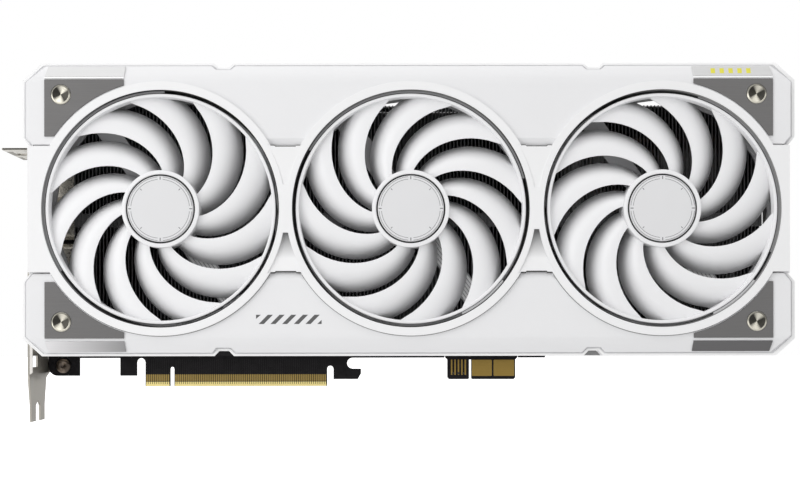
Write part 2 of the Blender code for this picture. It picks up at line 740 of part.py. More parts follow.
def board_outline():
    """Board with the left tab, the slot edge with its key, and the retention hook."""
    long_left = LONG_EDGE_CENTRE_X - LONG_EDGE / 2.0
    long_right = LONG_EDGE_CENTRE_X + LONG_EDGE / 2.0
    short_right = long_left - KEY_WIDTH
    short_left = short_right - SHORT_EDGE
    key_middle = (long_left + short_right) / 2.0
    key_radius = KEY_WIDTH / 2.0
    tab_z, tab_corner = 4.9, 4.2
    slot_radius, slot_middle = 2.0, short_left - 2.0
    end_radius = 1.5
    end_middle = long_right + end_radius
    hook_left, hook_right, hook_bottom, hook_top = long_right + 2.0 * end_radius, -23.4, 3.2, 8.1
    hook_radius = (BOARD_BOTTOM_Z - hook_top) / 2.0
    hook_centre = (-27.4, hook_top + hook_radius)
    left = arc((BOARD_LEFT_X + tab_corner, tab_z + tab_corner), tab_corner, 180.0, 270.0, 5)
    left += [(-155.3, tab_z), (-155.3, BOARD_BOTTOM_Z), (-136.3, BOARD_BOTTOM_Z), (-136.3, tab_z)]
    left += [(slot_middle - slot_radius, tab_z)]
    left += arc((slot_middle, BOARD_BOTTOM_Z - slot_radius), slot_radius, 180.0, 0.0, 6)
    edge = [(short_left, EDGE_BEVEL), (short_left + EDGE_BEVEL, 0.0), (short_right, 0.0)]
    edge += arc((key_middle, KEY_TOP_Z - key_radius), key_radius, 180.0, 0.0, 4)
    edge += [(long_left, 0.0), (long_right - EDGE_BEVEL, 0.0), (long_right, EDGE_BEVEL)]
    hook = arc((end_middle, 9.5 - end_radius), end_radius, 180.0, 0.0, 6)
    hook += [(hook_left, hook_bottom), (hook_right - 1.5, hook_bottom), (hook_right, 5.8)]
    hook += [(hook_right, hook_top)]
    hook += arc(hook_centre, hook_radius, 270.0, 90.0, 6)
    notch_top = TAB_TOP_Z + GAP
    notch_left, notch_right = TAB_LEFT_X - TAB_SHOULDER - GAP, TAB_RIGHT_X + TAB_SHOULDER + GAP
    right = [(notch_left, BOARD_BOTTOM_Z), (notch_left, notch_top)]
    right += [(notch_right, notch_top), (notch_right, BOARD_BOTTOM_Z)]
    right += [(BOARD_RIGHT_X, BOARD_BOTTOM_Z), (BOARD_RIGHT_X, BOARD_TOP_Z), (BOARD_LEFT_X, BOARD_TOP_Z)]
    return left + edge + hook + right


def tab_outline():
    """Power tab with chamfered shoulders, rounded feet and a dividing slot."""
    foot, shoulder = 0.8, TAB_SHOULDER
    slot_left, slot_right = TAB_SLOT_X, TAB_SLOT_X + TAB_SLOT_WIDTH
    return [
        (TAB_LEFT_X - shoulder, TAB_TOP_Z),
        (TAB_LEFT_X - shoulder, TAB_SHOULDER_Z + shoulder),
        (TAB_LEFT_X, TAB_SHOULDER_Z),
        (TAB_LEFT_X, TAB_BOTTOM_Z + foot),
        (TAB_LEFT_X + foot, TAB_BOTTOM_Z),
        (slot_left - foot / 2.0, TAB_BOTTOM_Z),
        (slot_left, TAB_BOTTOM_Z + foot / 2.0),
        (slot_left, TAB_SHOULDER_Z),
        (slot_right, TAB_SHOULDER_Z),
        (slot_right, TAB_BOTTOM_Z + foot / 2.0),
        (slot_right + foot / 2.0, TAB_BOTTOM_Z),
        (TAB_RIGHT_X - foot, TAB_BOTTOM_Z),
        (TAB_RIGHT_X, TAB_BOTTOM_Z + foot),
        (TAB_RIGHT_X, TAB_SHOULDER_Z),
        (TAB_RIGHT_X + shoulder, TAB_SHOULDER_Z + shoulder),
        (TAB_RIGHT_X + shoulder, TAB_TOP_Z),
    ]


def build_board(card, board_black, chip_black, plastic):
    """Board, power tab and its socket, chip package and memory."""
    face = BOARD_THICKNESS / 2.0
    hole = circle((TAB_SCREW_X, TAB_SCREW_Z), TAB_SCREW_SHANK + GAP, 12)
    place("pcb", prism("Y", board_outline(), -face, face, [hole]), board_black, card)
    place("power_tab", prism("Y", tab_outline(), -face, face), board_black, card)
    front = -face - GAP
    place("power_socket", block(SOCKET_X, (SOCKET_FRONT_Y, front), SOCKET_Z), plastic, card)

    half = PACKAGE_SIZE / 2.0
    package = rectangle(CHIP_X - half, CHIP_Z - half, CHIP_X + half, CHIP_Z + half)
    die_x, die_z = DIE_X / 2.0, DIE_Z / 2.0
    die = rectangle(CHIP_X - die_x, CHIP_Z - die_z, CHIP_X + die_x, CHIP_Z + die_z)
    chip = place("gpu_package", prism("Y", package, front - PACKAGE_HEIGHT, front), chip_black, card)
    combine(chip, "UNION", prism("Y", die, COLD_PLATE_BACK_Y + GAP, front - PACKAGE_HEIGHT / 2.0))
    chip_number = 0
    for x in (CHIP_X - MEMORY_REACH, CHIP_X + MEMORY_REACH):
        for row in range(MEMORY_ROWS):
            chip_number += 1
            z = CHIP_Z + (row - (MEMORY_ROWS - 1) / 2.0) * (MEMORY_Z + MEMORY_SPACE)
            span_x = (x - MEMORY_X / 2.0, x + MEMORY_X / 2.0)
            span_z = (z - MEMORY_Z / 2.0, z + MEMORY_Z / 2.0)
            mesh = block(span_x, (front - MEMORY_HEIGHT, front), span_z)
            place(f"memory_chip_{chip_number}", mesh, chip_black, card)


def build_backplate(card, grey):
    """Stamped rear plate with a slotted vent and bosses that stand on the board."""
    left, right = BACKPLATE_X
    low, high = BACKPLATE_Z
    outline = [
        (left + CORNER_X, low),
        (right - CORNER_X, low),
        (right, low + CORNER_Z),
        (right, high - CORNER_Z),
        (right - CORNER_X, high),
        (left + CORNER_X, high),
        (left, high - CORNER_Z),
        (left, low + CORNER_Z),
    ]
    slots = []
    pitch = (VENT_RIGHT_X - VENT_LEFT_X) / VENT_SLOTS
    for slot in range(VENT_SLOTS):
        x = VENT_LEFT_X + (slot + 0.5) * pitch
        half = VENT_SLOT_WIDTH / 2.0
        loop = arc((x, VENT_BOTTOM_Z), half, 180.0, 360.0, 3) + arc((x, VENT_TOP_Z), half, 0.0, 180.0, 3)
        slots.append(loop)
    sheet = prism("Y", outline, BACKPLATE_FRONT_Y, BACKPLATE_BACK_Y, slots)
    plate = place("backplate", sheet, grey, card)
    bosses = bmesh.new()
    for x in PLATE_BOSS_X:
        for z in PLATE_BOSS_Z:
            boss = circle((x, z), PLATE_BOSS_RADIUS, 12)
            add_prism(bosses, "Y", boss, BOARD_THICKNESS / 2.0 + GAP, BACKPLATE_FRONT_Y + 1.0)
    combine(plate, "UNION", bosses)


def port_middle(port):
    """Height of a port's middle above the slot."""
    return PORT_FIRST_Z + port * PORT_PITCH


def tongue_cuts(mesh):
    """Take the sheet away round the two slot tongues."""
    near = BRACKET_NEAR_Y - SLOT_WIDTH / 2.0
    far = near - SLOT_PITCH
    half = TONGUE_WIDTH / 2.0
    low = TONGUE_TIP_Z - OVERCUT
    shoulder, neck, fork = TONGUE_SHOULDER_Z, TONGUE_NECK_Z, TONGUE_FORK_Z
    near_edge, far_edge = BRACKET_NEAR_Y + OVERCUT, BRACKET_FAR_Y - OVERCUT
    near_side = [(near + half, low), (near_edge, low), (near_edge, shoulder)]
    near_side += [(BRACKET_NEAR_Y, shoulder), (near + half, neck)]
    middle = (near + far) / 2.0
    between = [(near - half, low), (near - half, neck), (middle, fork)]
    between += [(far + half, neck), (far + half, low)]
    far_side = [(far - half, low), (far - half, neck), (BRACKET_FAR_Y, shoulder)]
    far_side += [(far_edge, shoulder), (far_edge, low)]
    for outline in (near_side, between, far_side):
        add_prism(mesh, "X", outline, BRACKET_X - OVERCUT, BRACKET_X + OVERCUT)


def build_bracket(card, nickel, port_steel, steel):
    """Folded sheet with tongues, port windows, vents, screw notches and the board ear."""
    foot_left = BRACKET_X - FOOT_LENGTH
    inside = BRACKET_X + SHEET
    profile = [
        (inside, TONGUE_TIP_Z),
        (inside, BRACKET_TOP_Z),
        (foot_left, BRACKET_TOP_Z),
        (foot_left, BRACKET_TOP_Z - SHEET),
        (BRACKET_X, BRACKET_TOP_Z - SHEET),
        (BRACKET_X, TONGUE_TIP_Z),
    ]
    bracket = place("bracket", prism("Y", profile, BRACKET_NEAR_Y, BRACKET_FAR_Y), nickel, card)
    through = (BRACKET_X - OVERCUT, BRACKET_X + OVERCUT)
    cuts = bmesh.new()
    tongue_cuts(cuts)
    add_block(cuts, through, WINDOW_Y, WINDOW_Z)
    half = PORT_WIDTH / 2.0 + GAP
    for port in range(PORTS):
        z = port_middle(port)
        add_block(cuts, through, (PORT_FRONT_Y - GAP, PORT_BACK_Y + GAP), (z - half, z + half))
        add_block(cuts, through, GRILLE_Y, (z + 1.2, z + half - 1.0))
        if port > 0:
            add_block(cuts, through, GRILLE_Y, (z - half + 1.0, z - 1.2))
    notch_x = BRACKET_X - SCREW_NOTCH_OUT
    notch = (notch_x - SCREW_NOTCH / 2.0, notch_x + SCREW_NOTCH / 2.0)
    foot_z = (BRACKET_TOP_Z - OVERCUT, BRACKET_TOP_Z + OVERCUT)
    for y in (BRACKET_NEAR_Y, BRACKET_NEAR_Y - SLOT_PITCH):
        add_block(cuts, notch, (y - SCREW_NOTCH_DEPTH, y + SLOT_PITCH - SLOT_WIDTH), foot_z)
    combine(bracket, "DIFFERENCE", cuts)
    ear_y = BOARD_THICKNESS / 2.0 + GAP
    hole = circle((TAB_SCREW_X, TAB_SCREW_Z), TAB_SCREW_SHANK + GAP, 12)
    ear = rectangle(BRACKET_X + SHEET / 2.0, EAR_Z[0], TAB_SCREW_X + EAR_LENGTH, EAR_Z[1])
    combine(bracket, "UNION", prism("Y", ear, ear_y, ear_y + SHEET, [hole]))

    front = -BOARD_THICKNESS / 2.0 - GAP
    tab_screw = empty("bracket_screw_place", TAB_SCREW_X, TAB_SCREW_Z, card)
    head = [
        (0.0, front - 1.7),
        (TAB_SCREW_HEAD - 1.3, front - 1.7),
        (TAB_SCREW_HEAD, front - 1.0),
        (TAB_SCREW_HEAD, front),
        (TAB_SCREW_SHANK, front),
        (TAB_SCREW_SHANK, ear_y + SHEET),
        (0.0, ear_y + SHEET),
    ]
    place("bracket_screw", turned(head, 16, closed=False), steel, tab_screw, smooth=True)
    for port in range(PORTS):
        build_port(f"video_port_{port + 1}", port_middle(port), card, port_steel)


def build_port(name, z, card, port_steel):
    """Metal port shell, open towards the bracket, with its contact tongue."""
    mouth = BRACKET_X - PORT_REACH
    half = PORT_WIDTH / 2.0
    outline = [
        (PORT_BACK_Y, z - half),
        (PORT_BACK_Y, z + half),
        (PORT_FRONT_Y + PORT_CORNER, z + half),
        (PORT_FRONT_Y, z + half - PORT_CORNER),
        (PORT_FRONT_Y, z - half + PORT_CORNER),
        (PORT_FRONT_Y + PORT_CORNER, z - half),
    ]
    middle_y = (PORT_BACK_Y + PORT_FRONT_Y) / 2.0
    shrink_y = 1.0 - 2.0 * PORT_WALL / (PORT_BACK_Y - PORT_FRONT_Y)
    shrink_z = 1.0 - 2.0 * PORT_WALL / PORT_WIDTH
    inner = [(middle_y + (y - middle_y) * shrink_y, z + (up - z) * shrink_z) for y, up in outline]
    shell = place(name, prism("X", outline, mouth, mouth + PORT_DEPTH), port_steel, card)
    combine(shell, "DIFFERENCE", prism("X", inner, mouth - OVERCUT, mouth + PORT_DEPTH - 4.0))
    tongue_x = (mouth + 2.0, mouth + PORT_DEPTH - 3.0)
    tongue_y = (middle_y - 0.6, middle_y + 0.6)
    tongue_z = (z - PORT_TONGUE / 2.0, z + PORT_TONGUE / 2.0)
    combine(shell, "UNION", block(tongue_x, tongue_y, tongue_z))


def build_switch(card, plastic, slider_white):
    """Two-way mode switch on the board's top edge, with the slider that travels in its slot."""
    back = -BOARD_THICKNESS / 2.0 - GAP
    middle = back - SWITCH_DEPTH / 2.0
    top = BOARD_TOP_Z - 0.5
    half = SWITCH_LENGTH / 2.0
    case_x, case_z = (SWITCH_X - half, SWITCH_X + half), (top - SWITCH_HEIGHT, top)
    body = place("mode_switch", block(case_x, (back - SWITCH_DEPTH, back), case_z), plastic, card)
    reach = (SLIDER_LENGTH + SWITCH_TRAVEL) / 2.0 + GAP
    slot = block((SWITCH_X - reach, SWITCH_X + reach), (middle - 1.0, middle + 1.0), (top - 2.0, top + 1.0))
    combine(body, "DIFFERENCE", slot)
    start_x = SWITCH_X - SWITCH_TRAVEL / 2.0
    slider_place = empty("switch_slider_place", start_x, top, card)
    slider_half = SLIDER_LENGTH / 2.0
    mesh = block((-slider_half, slider_half), (middle - 0.7, middle + 0.7), (-1.7, 1.6))
    place("switch_slider", mesh, slider_white, slider_place)


def main():
    """Build the card, sub-assembly by sub-assembly."""
    clear_scene()
    white = finish("white_housing", (0.84, 0.84, 0.85), 0.42)
    blade_white = finish("white_blade", (0.86, 0.86, 0.87), 0.38)
    cap_white = finish("white_cap", (0.78, 0.78, 0.79), 0.35)
    brushed = finish("brushed_trim", (0.20, 0.20, 0.20), 0.36, 1.0)
    steel = finish("polished_steel", (0.62, 0.61, 0.60), 0.22, 1.0)
    grey = finish("grey_plastic", (0.40, 0.40, 0.41), 0.50)
    backplate_grey = finish("backplate_paint", (0.80, 0.80, 0.81), 0.45)
    black = finish("black_fin", (0.02, 0.02, 0.02), 0.45, 0.6)
    copper = finish("copper", (0.72, 0.42, 0.28), 0.30, 1.0)
    board_black = finish("board", (0.016, 0.015, 0.017), 0.40)
    chip_black = finish("chip", (0.03, 0.03, 0.03), 0.50)
    plastic = finish("black_plastic", (0.02, 0.02, 0.02), 0.55)
    nickel = finish("bracket_nickel", (0.40, 0.38, 0.34), 0.33, 1.0)
    iron = finish("stator_iron", (0.30, 0.28, 0.26), 0.45, 1.0)
    bronze = finish("bearing_bronze", (0.55, 0.38, 0.20), 0.35, 1.0)
    magnet = finish("magnet", (0.10, 0.10, 0.10), 0.60)

    card = empty("card", -LONG_EDGE_CENTRE_X, 0.0)
    build_housing(card, white)
    build_bezel(card, white)
    build_trims(card, brushed, steel)
    for side in FAN_X:
        axis = empty(f"fan_axis_{side}", *fan_centre(side), card)
        build_rotor(side, axis, blade_white, cap_white, steel, magnet)
        build_fan_base(side, card, grey, iron, bronze)
    build_cooler(card, black, copper)
    build_board(card, board_black, chip_black, plastic)
    build_backplate(card, backplate_grey)
    build_bracket(card, nickel, steel, steel)
    build_switch(card, plastic, cap_white)


main()
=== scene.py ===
"""Triple-fan graphics card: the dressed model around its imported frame.

Sizes are millimetres and become metres when a shape is made into a piece. X is measured from the middle
fan's axis, Y runs from the fans to the backplate with the board at zero, and Z is measured up from the
slot edge.
"""

import json
import logging
import math
from dataclasses import dataclass
from enum import Enum
from typing import Any, Callable, Optional, Sequence

import bmesh
import bpy
from mathutils import Matrix, Vector
from mathutils.geometry import tessellate_polygon


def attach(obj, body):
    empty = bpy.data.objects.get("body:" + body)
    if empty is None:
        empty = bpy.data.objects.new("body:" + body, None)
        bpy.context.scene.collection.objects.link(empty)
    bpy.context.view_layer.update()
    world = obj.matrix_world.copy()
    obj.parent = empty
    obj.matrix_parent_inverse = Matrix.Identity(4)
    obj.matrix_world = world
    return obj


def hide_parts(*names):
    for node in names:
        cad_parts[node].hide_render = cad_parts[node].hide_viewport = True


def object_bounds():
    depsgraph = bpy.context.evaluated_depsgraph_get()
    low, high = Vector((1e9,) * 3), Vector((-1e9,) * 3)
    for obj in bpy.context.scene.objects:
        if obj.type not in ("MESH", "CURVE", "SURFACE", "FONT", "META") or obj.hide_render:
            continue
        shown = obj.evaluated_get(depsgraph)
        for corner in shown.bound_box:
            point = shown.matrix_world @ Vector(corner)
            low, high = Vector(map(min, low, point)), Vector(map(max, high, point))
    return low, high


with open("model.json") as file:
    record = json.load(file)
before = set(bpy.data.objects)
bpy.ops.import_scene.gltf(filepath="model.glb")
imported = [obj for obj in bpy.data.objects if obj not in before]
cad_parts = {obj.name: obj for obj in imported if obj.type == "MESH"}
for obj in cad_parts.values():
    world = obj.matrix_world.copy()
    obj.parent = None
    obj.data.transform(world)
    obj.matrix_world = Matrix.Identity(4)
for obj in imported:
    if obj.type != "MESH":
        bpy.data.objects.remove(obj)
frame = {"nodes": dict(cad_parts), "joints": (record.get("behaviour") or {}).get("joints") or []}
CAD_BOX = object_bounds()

LOG = logging.getLogger("graphics_card")
MM = 0.001
JOINTS = {joint["name"]: joint for joint in frame["joints"]}
MIDDLE_AXIS_X = JOINTS["fan_spin_middle"]["pos_m"][0]
TO_CARD = Matrix.Translation((MIDDLE_AXIS_X, 0.0, 0.0)) @ Matrix.Scale(MM, 4)

CARD = "card"
WHITE = (1.0, 1.0, 1.0, 1.0)
NOISE_ROUGHNESS = 0.55
MERGE_DISTANCE = 2e-6
FLAT_ANGLE = 0.5
SHARP_ANGLE = 32.0
TURNED_ANGLE = 40.0
BEVEL_STEPS = 2
NORMAL_WEIGHT = 60
FACES_FRONT = -0.6
ON_AXIS = 1e-6
UV_RADIUS = 10.0
RIM_STEPS = 144
HUB_STEPS = 96

Point = tuple[float, float]
Span = tuple[float, float]
Place = tuple[float, float, float]
Box = tuple[float, float, float, float]
Loop = list[Point]
Profile = tuple[Point, ...]
Colour = tuple[float, float, float]
Piece = bpy.types.Object
Socket = bpy.types.NodeSocket


class Along(Enum):
    """Axis that an outline is drawn square to."""

    X = "X"
    Y = "Y"
    Z = "Z"

    def spot(self, across: float, up: float, along: float) -> Vector:
        """Place a point of an outline at a distance along the axis."""
        places = {Along.X: (along, across, up), Along.Y: (across, along, up), Along.Z: (across, up, along)}
        return Vector(places[self])


class Side(Enum):
    """The three fans, named by their place on the card."""

    LEFT = "left"
    MIDDLE = "middle"
    RIGHT = "right"

    @property
    def joint(self) -> dict[str, Any]:
        """The joint that this fan turns on."""
        return JOINTS[f"fan_spin_{self.value}"]

    @property
    def body(self) -> str:
        """The moving body of this fan."""
        return f"fan_{self.value}"

    @property
    def hand(self) -> float:
        """Which way the blades sweep: the middle fan is a mirror image."""
        return -1.0 if self is Side.MIDDLE else 1.0

    @property
    def centre(self) -> Point:
        """Where the fan's axis crosses the card, in X and Z."""
        place = self.joint["pos_m"]
        return ((place[0] - MIDDLE_AXIS_X) / MM, place[2] / MM)


class Effect(Enum):
    """Surface effects that the finishes share."""

    MOULDED = "moulded_grain"
    BRUSHED = "brushed_lines"
    TURNED = "turned_rings"
    PLATED = "plated_mottle"
    LAMINATE = "board_laminate"


class Draft:
    """Lays out nodes in one tree."""

    def __init__(self, tree: bpy.types.NodeTree) -> None:
        """Keep the tree that the nodes go into."""
        self.tree = tree

    def node(self, kind: str, values: Optional[dict[Any, Any]] = None, **settings: Any) -> bpy.types.Node:
        """Add a node.

        Args:
            kind: Type name of the node.
            values: Default values or sockets to link, by input name or number.
            settings: Properties of the node itself.

        Returns:
            The new node.
        """
        made = self.tree.nodes.new(kind)
        for key, value in settings.items():
            setattr(made, key, value)
        for key, value in (values or {}).items():
            if isinstance(value, Socket):
                self.tree.links.new(value, made.inputs[key])
            else:
                made.inputs[key].default_value = value
        return made

    def out(self, kind: str, values: Optional[dict[Any, Any]] = None, **settings: Any) -> Socket:
        """Add a node and give its first output."""
        return self.node(kind, values, **settings).outputs[0]

    def place(self) -> Socket:
        """Object coordinates."""
        return self.node("ShaderNodeTexCoord").outputs["Object"]

    def math(self, operation: str, first: Any, second: Any = 0.0) -> Socket:
        """Work out one number from two."""
        return self.out("ShaderNodeMath", {0: first, 1: second}, operation=operation)

    def noise(self, vector: Any, scale: Any, detail: float = 2.0) -> Socket:
        """Smooth noise on a vector, as a value from 0 to 1."""
        values = {"Vector": vector, "Scale": scale, "Detail": detail, "Roughness": NOISE_ROUGHNESS}
        return self.out("ShaderNodeTexNoise", values)


GROUP_INPUTS = (("Colour", "NodeSocketColor"), ("Scale", "NodeSocketFloat"), ("Tone", "NodeSocketFloat"),
                ("Roughness", "NodeSocketFloat"), ("Spread", "NodeSocketFloat"))
GROUP_OUTPUTS = (("Colour", "NodeSocketColor"), ("Roughness", "NodeSocketFloat"),
                 ("Height", "NodeSocketFloat"))


def moulded_pattern(draft: Draft, scale: Socket) -> tuple[Any, Any]:
    """Fine grain of a spark-eroded mould, with broad soft clouds.

    Args:
        draft: Draft of the effect's node group.
        scale: Scale of the finest marks.

    Returns:
        The fine height and the broad shade, each from 0 to 1.
    """
    cloud_share = 0.014
    place = draft.place()
    grain = draft.noise(place, scale, detail=3.0)
    return grain, draft.noise(place, draft.math("MULTIPLY", scale, cloud_share))


def brushed_pattern(draft: Draft, scale: Socket) -> tuple[Any, Any]:
    """Long fine scratches along X.

    Args:
        draft: Draft of the effect's node group.
        scale: Scale of the finest marks.

    Returns:
        The fine height and the broad shade, each from 0 to 1.
    """
    stretch = (0.012, 1.0, 1.0)
    stretched = draft.out("ShaderNodeMapping", {"Vector": draft.place(), "Scale": stretch})
    lines = draft.noise(stretched, scale, detail=5.0)
    return lines, lines


def turned_pattern(draft: Draft, scale: Socket) -> tuple[Any, Any]:
    """Lathe rings with a painted two-winged reflection and a painted highlight on the lower rim, from radius
    and angle in the UV map.

    Args:
        draft: Draft of the effect's node group.
        scale: Scale of the finest marks.

    Returns:
        The fine height, and the painted reflection and highlight as a shade, each from 0 to 1.
    """
    wing_turn, ripple, rim_radius = math.radians(140.0), 0.8, 0.352
    spot = draft.out("ShaderNodeUVMap", uv_map="UVMap")
    radius, turn, _ = draft.node("ShaderNodeSeparateXYZ", {0: spot}).outputs
    rings = draft.noise(draft.out("ShaderNodeCombineXYZ", {0: radius}), scale, detail=3.0)
    # Painted reflection: two bright and two dark wings round the head, in place of a polished face mirroring
    # its surroundings.
    doubled = draft.math("MULTIPLY", turn, 4.0 * math.pi)
    wings = draft.math("COSINE", draft.math("SUBTRACT", doubled, wing_turn))
    wings = draft.math("ADD", wings, draft.math("MULTIPLY", draft.math("SUBTRACT", rings, 0.5), ripple))
    painted_wings = draft.out("ShaderNodeMapRange", {"Value": wings, "From Min": 0.95, "From Max": -0.10})
    # Painted highlight along the lower rim.
    height = draft.math("SINE", draft.math("MULTIPLY", turn, 2.0 * math.pi))
    values = {"Value": height, "From Min": -0.25, "From Max": 0.15, "To Max": 0.8}
    painted_rim_glint = draft.out("ShaderNodeMapRange", values)
    rim = draft.math("GREATER_THAN", radius, rim_radius)
    return rings, draft.out("ShaderNodeMix", {0: rim, 2: painted_wings, 3: painted_rim_glint})


def plated_pattern(draft: Draft, scale: Socket) -> tuple[Any, Any]:
    """Small ripples and broad stains of a plated or drawn metal.

    Args:
        draft: Draft of the effect's node group.
        scale: Scale of the finest marks.

    Returns:
        The fine height and the broad shade, each from 0 to 1.
    """
    stain_share = 0.15
    place = draft.place()
    ripple = draft.noise(place, scale, detail=4.0)
    return ripple, draft.noise(place, draft.math("MULTIPLY", scale, stain_share), detail=3.0)


def laminate_pattern(draft: Draft, scale: Socket) -> tuple[Any, Any]:
    """Cloth weave under solder mask, and the faint steps of the copper below it.

    Args:
        draft: Draft of the effect's node group.
        scale: Scale of the finest marks.

    Returns:
        The fine height and the broad shade, each from 0 to 1.
    """
    copper_share, copper_edge, weave_height, copper_height = 0.12, 0.42, 0.3, 0.5
    place = draft.place()
    weave = draft.noise(place, scale, detail=1.0)
    values = {"Vector": place, "Scale": draft.math("MULTIPLY", scale, copper_share)}
    copper = draft.out("ShaderNodeTexVoronoi", values, distance="CHEBYCHEV")
    step = draft.math("GREATER_THAN", copper, copper_edge)
    weave = draft.math("MULTIPLY", weave, weave_height)
    return draft.math("ADD", weave, draft.math("MULTIPLY", step, copper_height)), step


PATTERNS: dict[Effect, Callable[[Draft, Socket], tuple[Any, Any]]] = {
    Effect.MOULDED: moulded_pattern,
    Effect.BRUSHED: brushed_pattern,
    Effect.TURNED: turned_pattern,
    Effect.PLATED: plated_pattern,
    Effect.LAMINATE: laminate_pattern,
}


def effect_group(effect: Effect) -> bpy.types.NodeTree:
    """Shader node group of an effect, built on its first use.

    Args:
        effect: The surface effect.

    Returns:
        A group that puts out a colour, a roughness and a height.
    """
    known = bpy.data.node_groups.get(effect.value)
    if known is not None:
        return known
    tree = bpy.data.node_groups.new(effect.value, "ShaderNodeTree")
    for name, kind in GROUP_INPUTS:
        tree.interface.new_socket(name=name, in_out="INPUT", socket_type=kind)
    for name, kind in GROUP_OUTPUTS:
        tree.interface.new_socket(name=name, in_out="OUTPUT", socket_type=kind)
    draft = Draft(tree)
    given = draft.node("NodeGroupInput").outputs
    fine, cloud = PATTERNS[effect](draft, given["Scale"])
    dark = draft.math("SUBTRACT", 1.0, given["Tone"])
    shade = draft.out("ShaderNodeMix", {0: cloud, 2: 1.0, 3: dark})
    colour = draft.out("ShaderNodeVectorMath", {0: given["Colour"], "Scale": shade}, operation="SCALE")
    offset = draft.math("MULTIPLY", draft.math("SUBTRACT", fine, 0.5), given["Spread"])
    roughness = draft.math("ADD", given["Roughness"], offset)
    draft.node("NodeGroupOutput", {"Colour": colour, "Roughness": roughness, "Height": fine})
    return tree


@dataclass(frozen=True)
class Finish:
    """One finish: a colour and a shared effect with its own values."""

    name: str
    colour: Colour
    roughness: float
    effect: Effect
    scale: float
    tone: float = 0.06
    spread: float = 0.10
    bump: float = 0.12
    depth: float = 0.03
    metallic: float = 0.0
    specular: float = 0.5
    # fade paints light and shade: the colour is scaled along X or Z, from one place to another, to a share of
    # itself.
    fade: tuple[float, float, float] = (0.0, 1.0, 1.0)
    fade_axis: Along = Along.X

    def paint_light_ramp(self, draft: Draft, colour: Socket) -> Socket:
        """Paint light or shade into a colour: scale it along X or Z, from one place to another, to a share of
        itself.

        Args:
            draft: Draft of the finish's material.
            colour: The colour to change.

        Returns:
            The changed colour.
        """
        start, end, share = self.fade
        x, _, z = draft.node("ShaderNodeSeparateXYZ", {0: draft.place()}).outputs
        along, origin = (x, MIDDLE_AXIS_X) if self.fade_axis is Along.X else (z, 0.0)
        values = {"Value": along, "From Min": origin + start * MM, "From Max": origin + end * MM,
                  "To Min": 1.0, "To Max": share}
        factor = draft.out("ShaderNodeMapRange", values)
        return draft.out("ShaderNodeVectorMath", {0: colour, "Scale": factor}, operation="SCALE")

    def make(self) -> bpy.types.Material:
        """Material of this finish, built on its first use.

        Returns:
            The material, which every piece of this finish shares.
        """
        known = bpy.data.materials.get(self.name)
        if known is not None:
            return known
        material = bpy.data.materials.new(self.name)
        material.use_nodes = True
        material.diffuse_color = (*self.colour, 1.0)
        draft = Draft(material.node_tree)
        shader = material.node_tree.nodes["Principled BSDF"]
        shader.inputs["Metallic"].default_value = self.metallic
        shader.inputs["Specular IOR Level"].default_value = self.specular
        values = {"Colour": (*self.colour, 1.0), "Scale": self.scale, "Tone": self.tone,
                  "Roughness": self.roughness, "Spread": self.spread}
        group = draft.tree.nodes.new("ShaderNodeGroup")
        group.node_tree = effect_group(self.effect)
        for key, value in values.items():
            group.inputs[key].default_value = value
        height = group.outputs["Height"]
        relief = {"Strength": self.bump, "Distance": self.depth * MM, "Height": height}
        bump = draft.out("ShaderNodeBump", relief)
        colour = group.outputs["Colour"]
        if self.fade[2] != 1.0:
            colour = self.paint_light_ramp(draft, colour)
        draft.tree.links.new(colour, shader.inputs["Base Color"])
        draft.tree.links.new(group.outputs["Roughness"], shader.inputs["Roughness"])
        draft.tree.links.new(bump, shader.inputs["Normal"])
        return material


WHITE_PLASTIC = Finish("white_moulded_plastic", (0.82, 0.82, 0.83), 0.46, Effect.MOULDED, 2600.0, 0.03)
# Painted light: a paler copy of the white plastic for the flange, brighter still towards the right.
FLANGE_PAINTED_LIGHT = Finish("flange_painted_light_plastic", (0.90, 0.90, 0.90), 0.50, Effect.MOULDED, 2600.0, 0.03,
                      fade=(-165.0, 165.0, 1.08))
# Painted highlight: a whiter copy of the white plastic, used on the top folds only.
FOLD_PAINTED_HIGHLIGHT = Finish("fold_painted_highlight_plastic", (0.93, 0.93, 0.93), 0.50, Effect.MOULDED, 2600.0, 0.03)
WHITE_RIM = Finish("white_rim_plastic", (0.87, 0.87, 0.875), 0.42, Effect.MOULDED, 2600.0, 0.025)
WHITE_BLADE = Finish("white_blade_plastic", (0.86, 0.86, 0.87), 0.36, Effect.MOULDED, 3200.0, 0.03, bump=0.06)
CAP_WHITE = Finish("hub_cap_satin", (0.75, 0.75, 0.76), 0.34, Effect.MOULDED, 4200.0, 0.03, bump=0.05)
CAP_LINE = Finish("hub_cap_line", (0.20, 0.20, 0.21), 0.45, Effect.MOULDED, 4000.0)
CAP_JOINT_PAINTED_SHADE = Finish("hub_cap_joint", (0.05, 0.05, 0.05), 0.60, Effect.MOULDED, 4000.0, specular=0.1)
PRINT_GREY = Finish("stripe_print_grey", (0.10, 0.10, 0.10), 0.50, Effect.MOULDED, 3000.0, 0.15)
PRINT_YELLOW = Finish("tick_print_yellow", (0.75, 0.70, 0.06), 0.45, Effect.MOULDED, 3000.0, 0.10)
# Painted reflection: the trim plates are painted brighter towards the right.
TRIM_PLATE = Finish("brushed_trim_plate", (0.168, 0.165, 0.164), 0.42, Effect.BRUSHED, 5200.0, 0.22, 0.16,
                    0.10, 0.02, 1.0, fade=(-158.0, 157.0, 1.2))
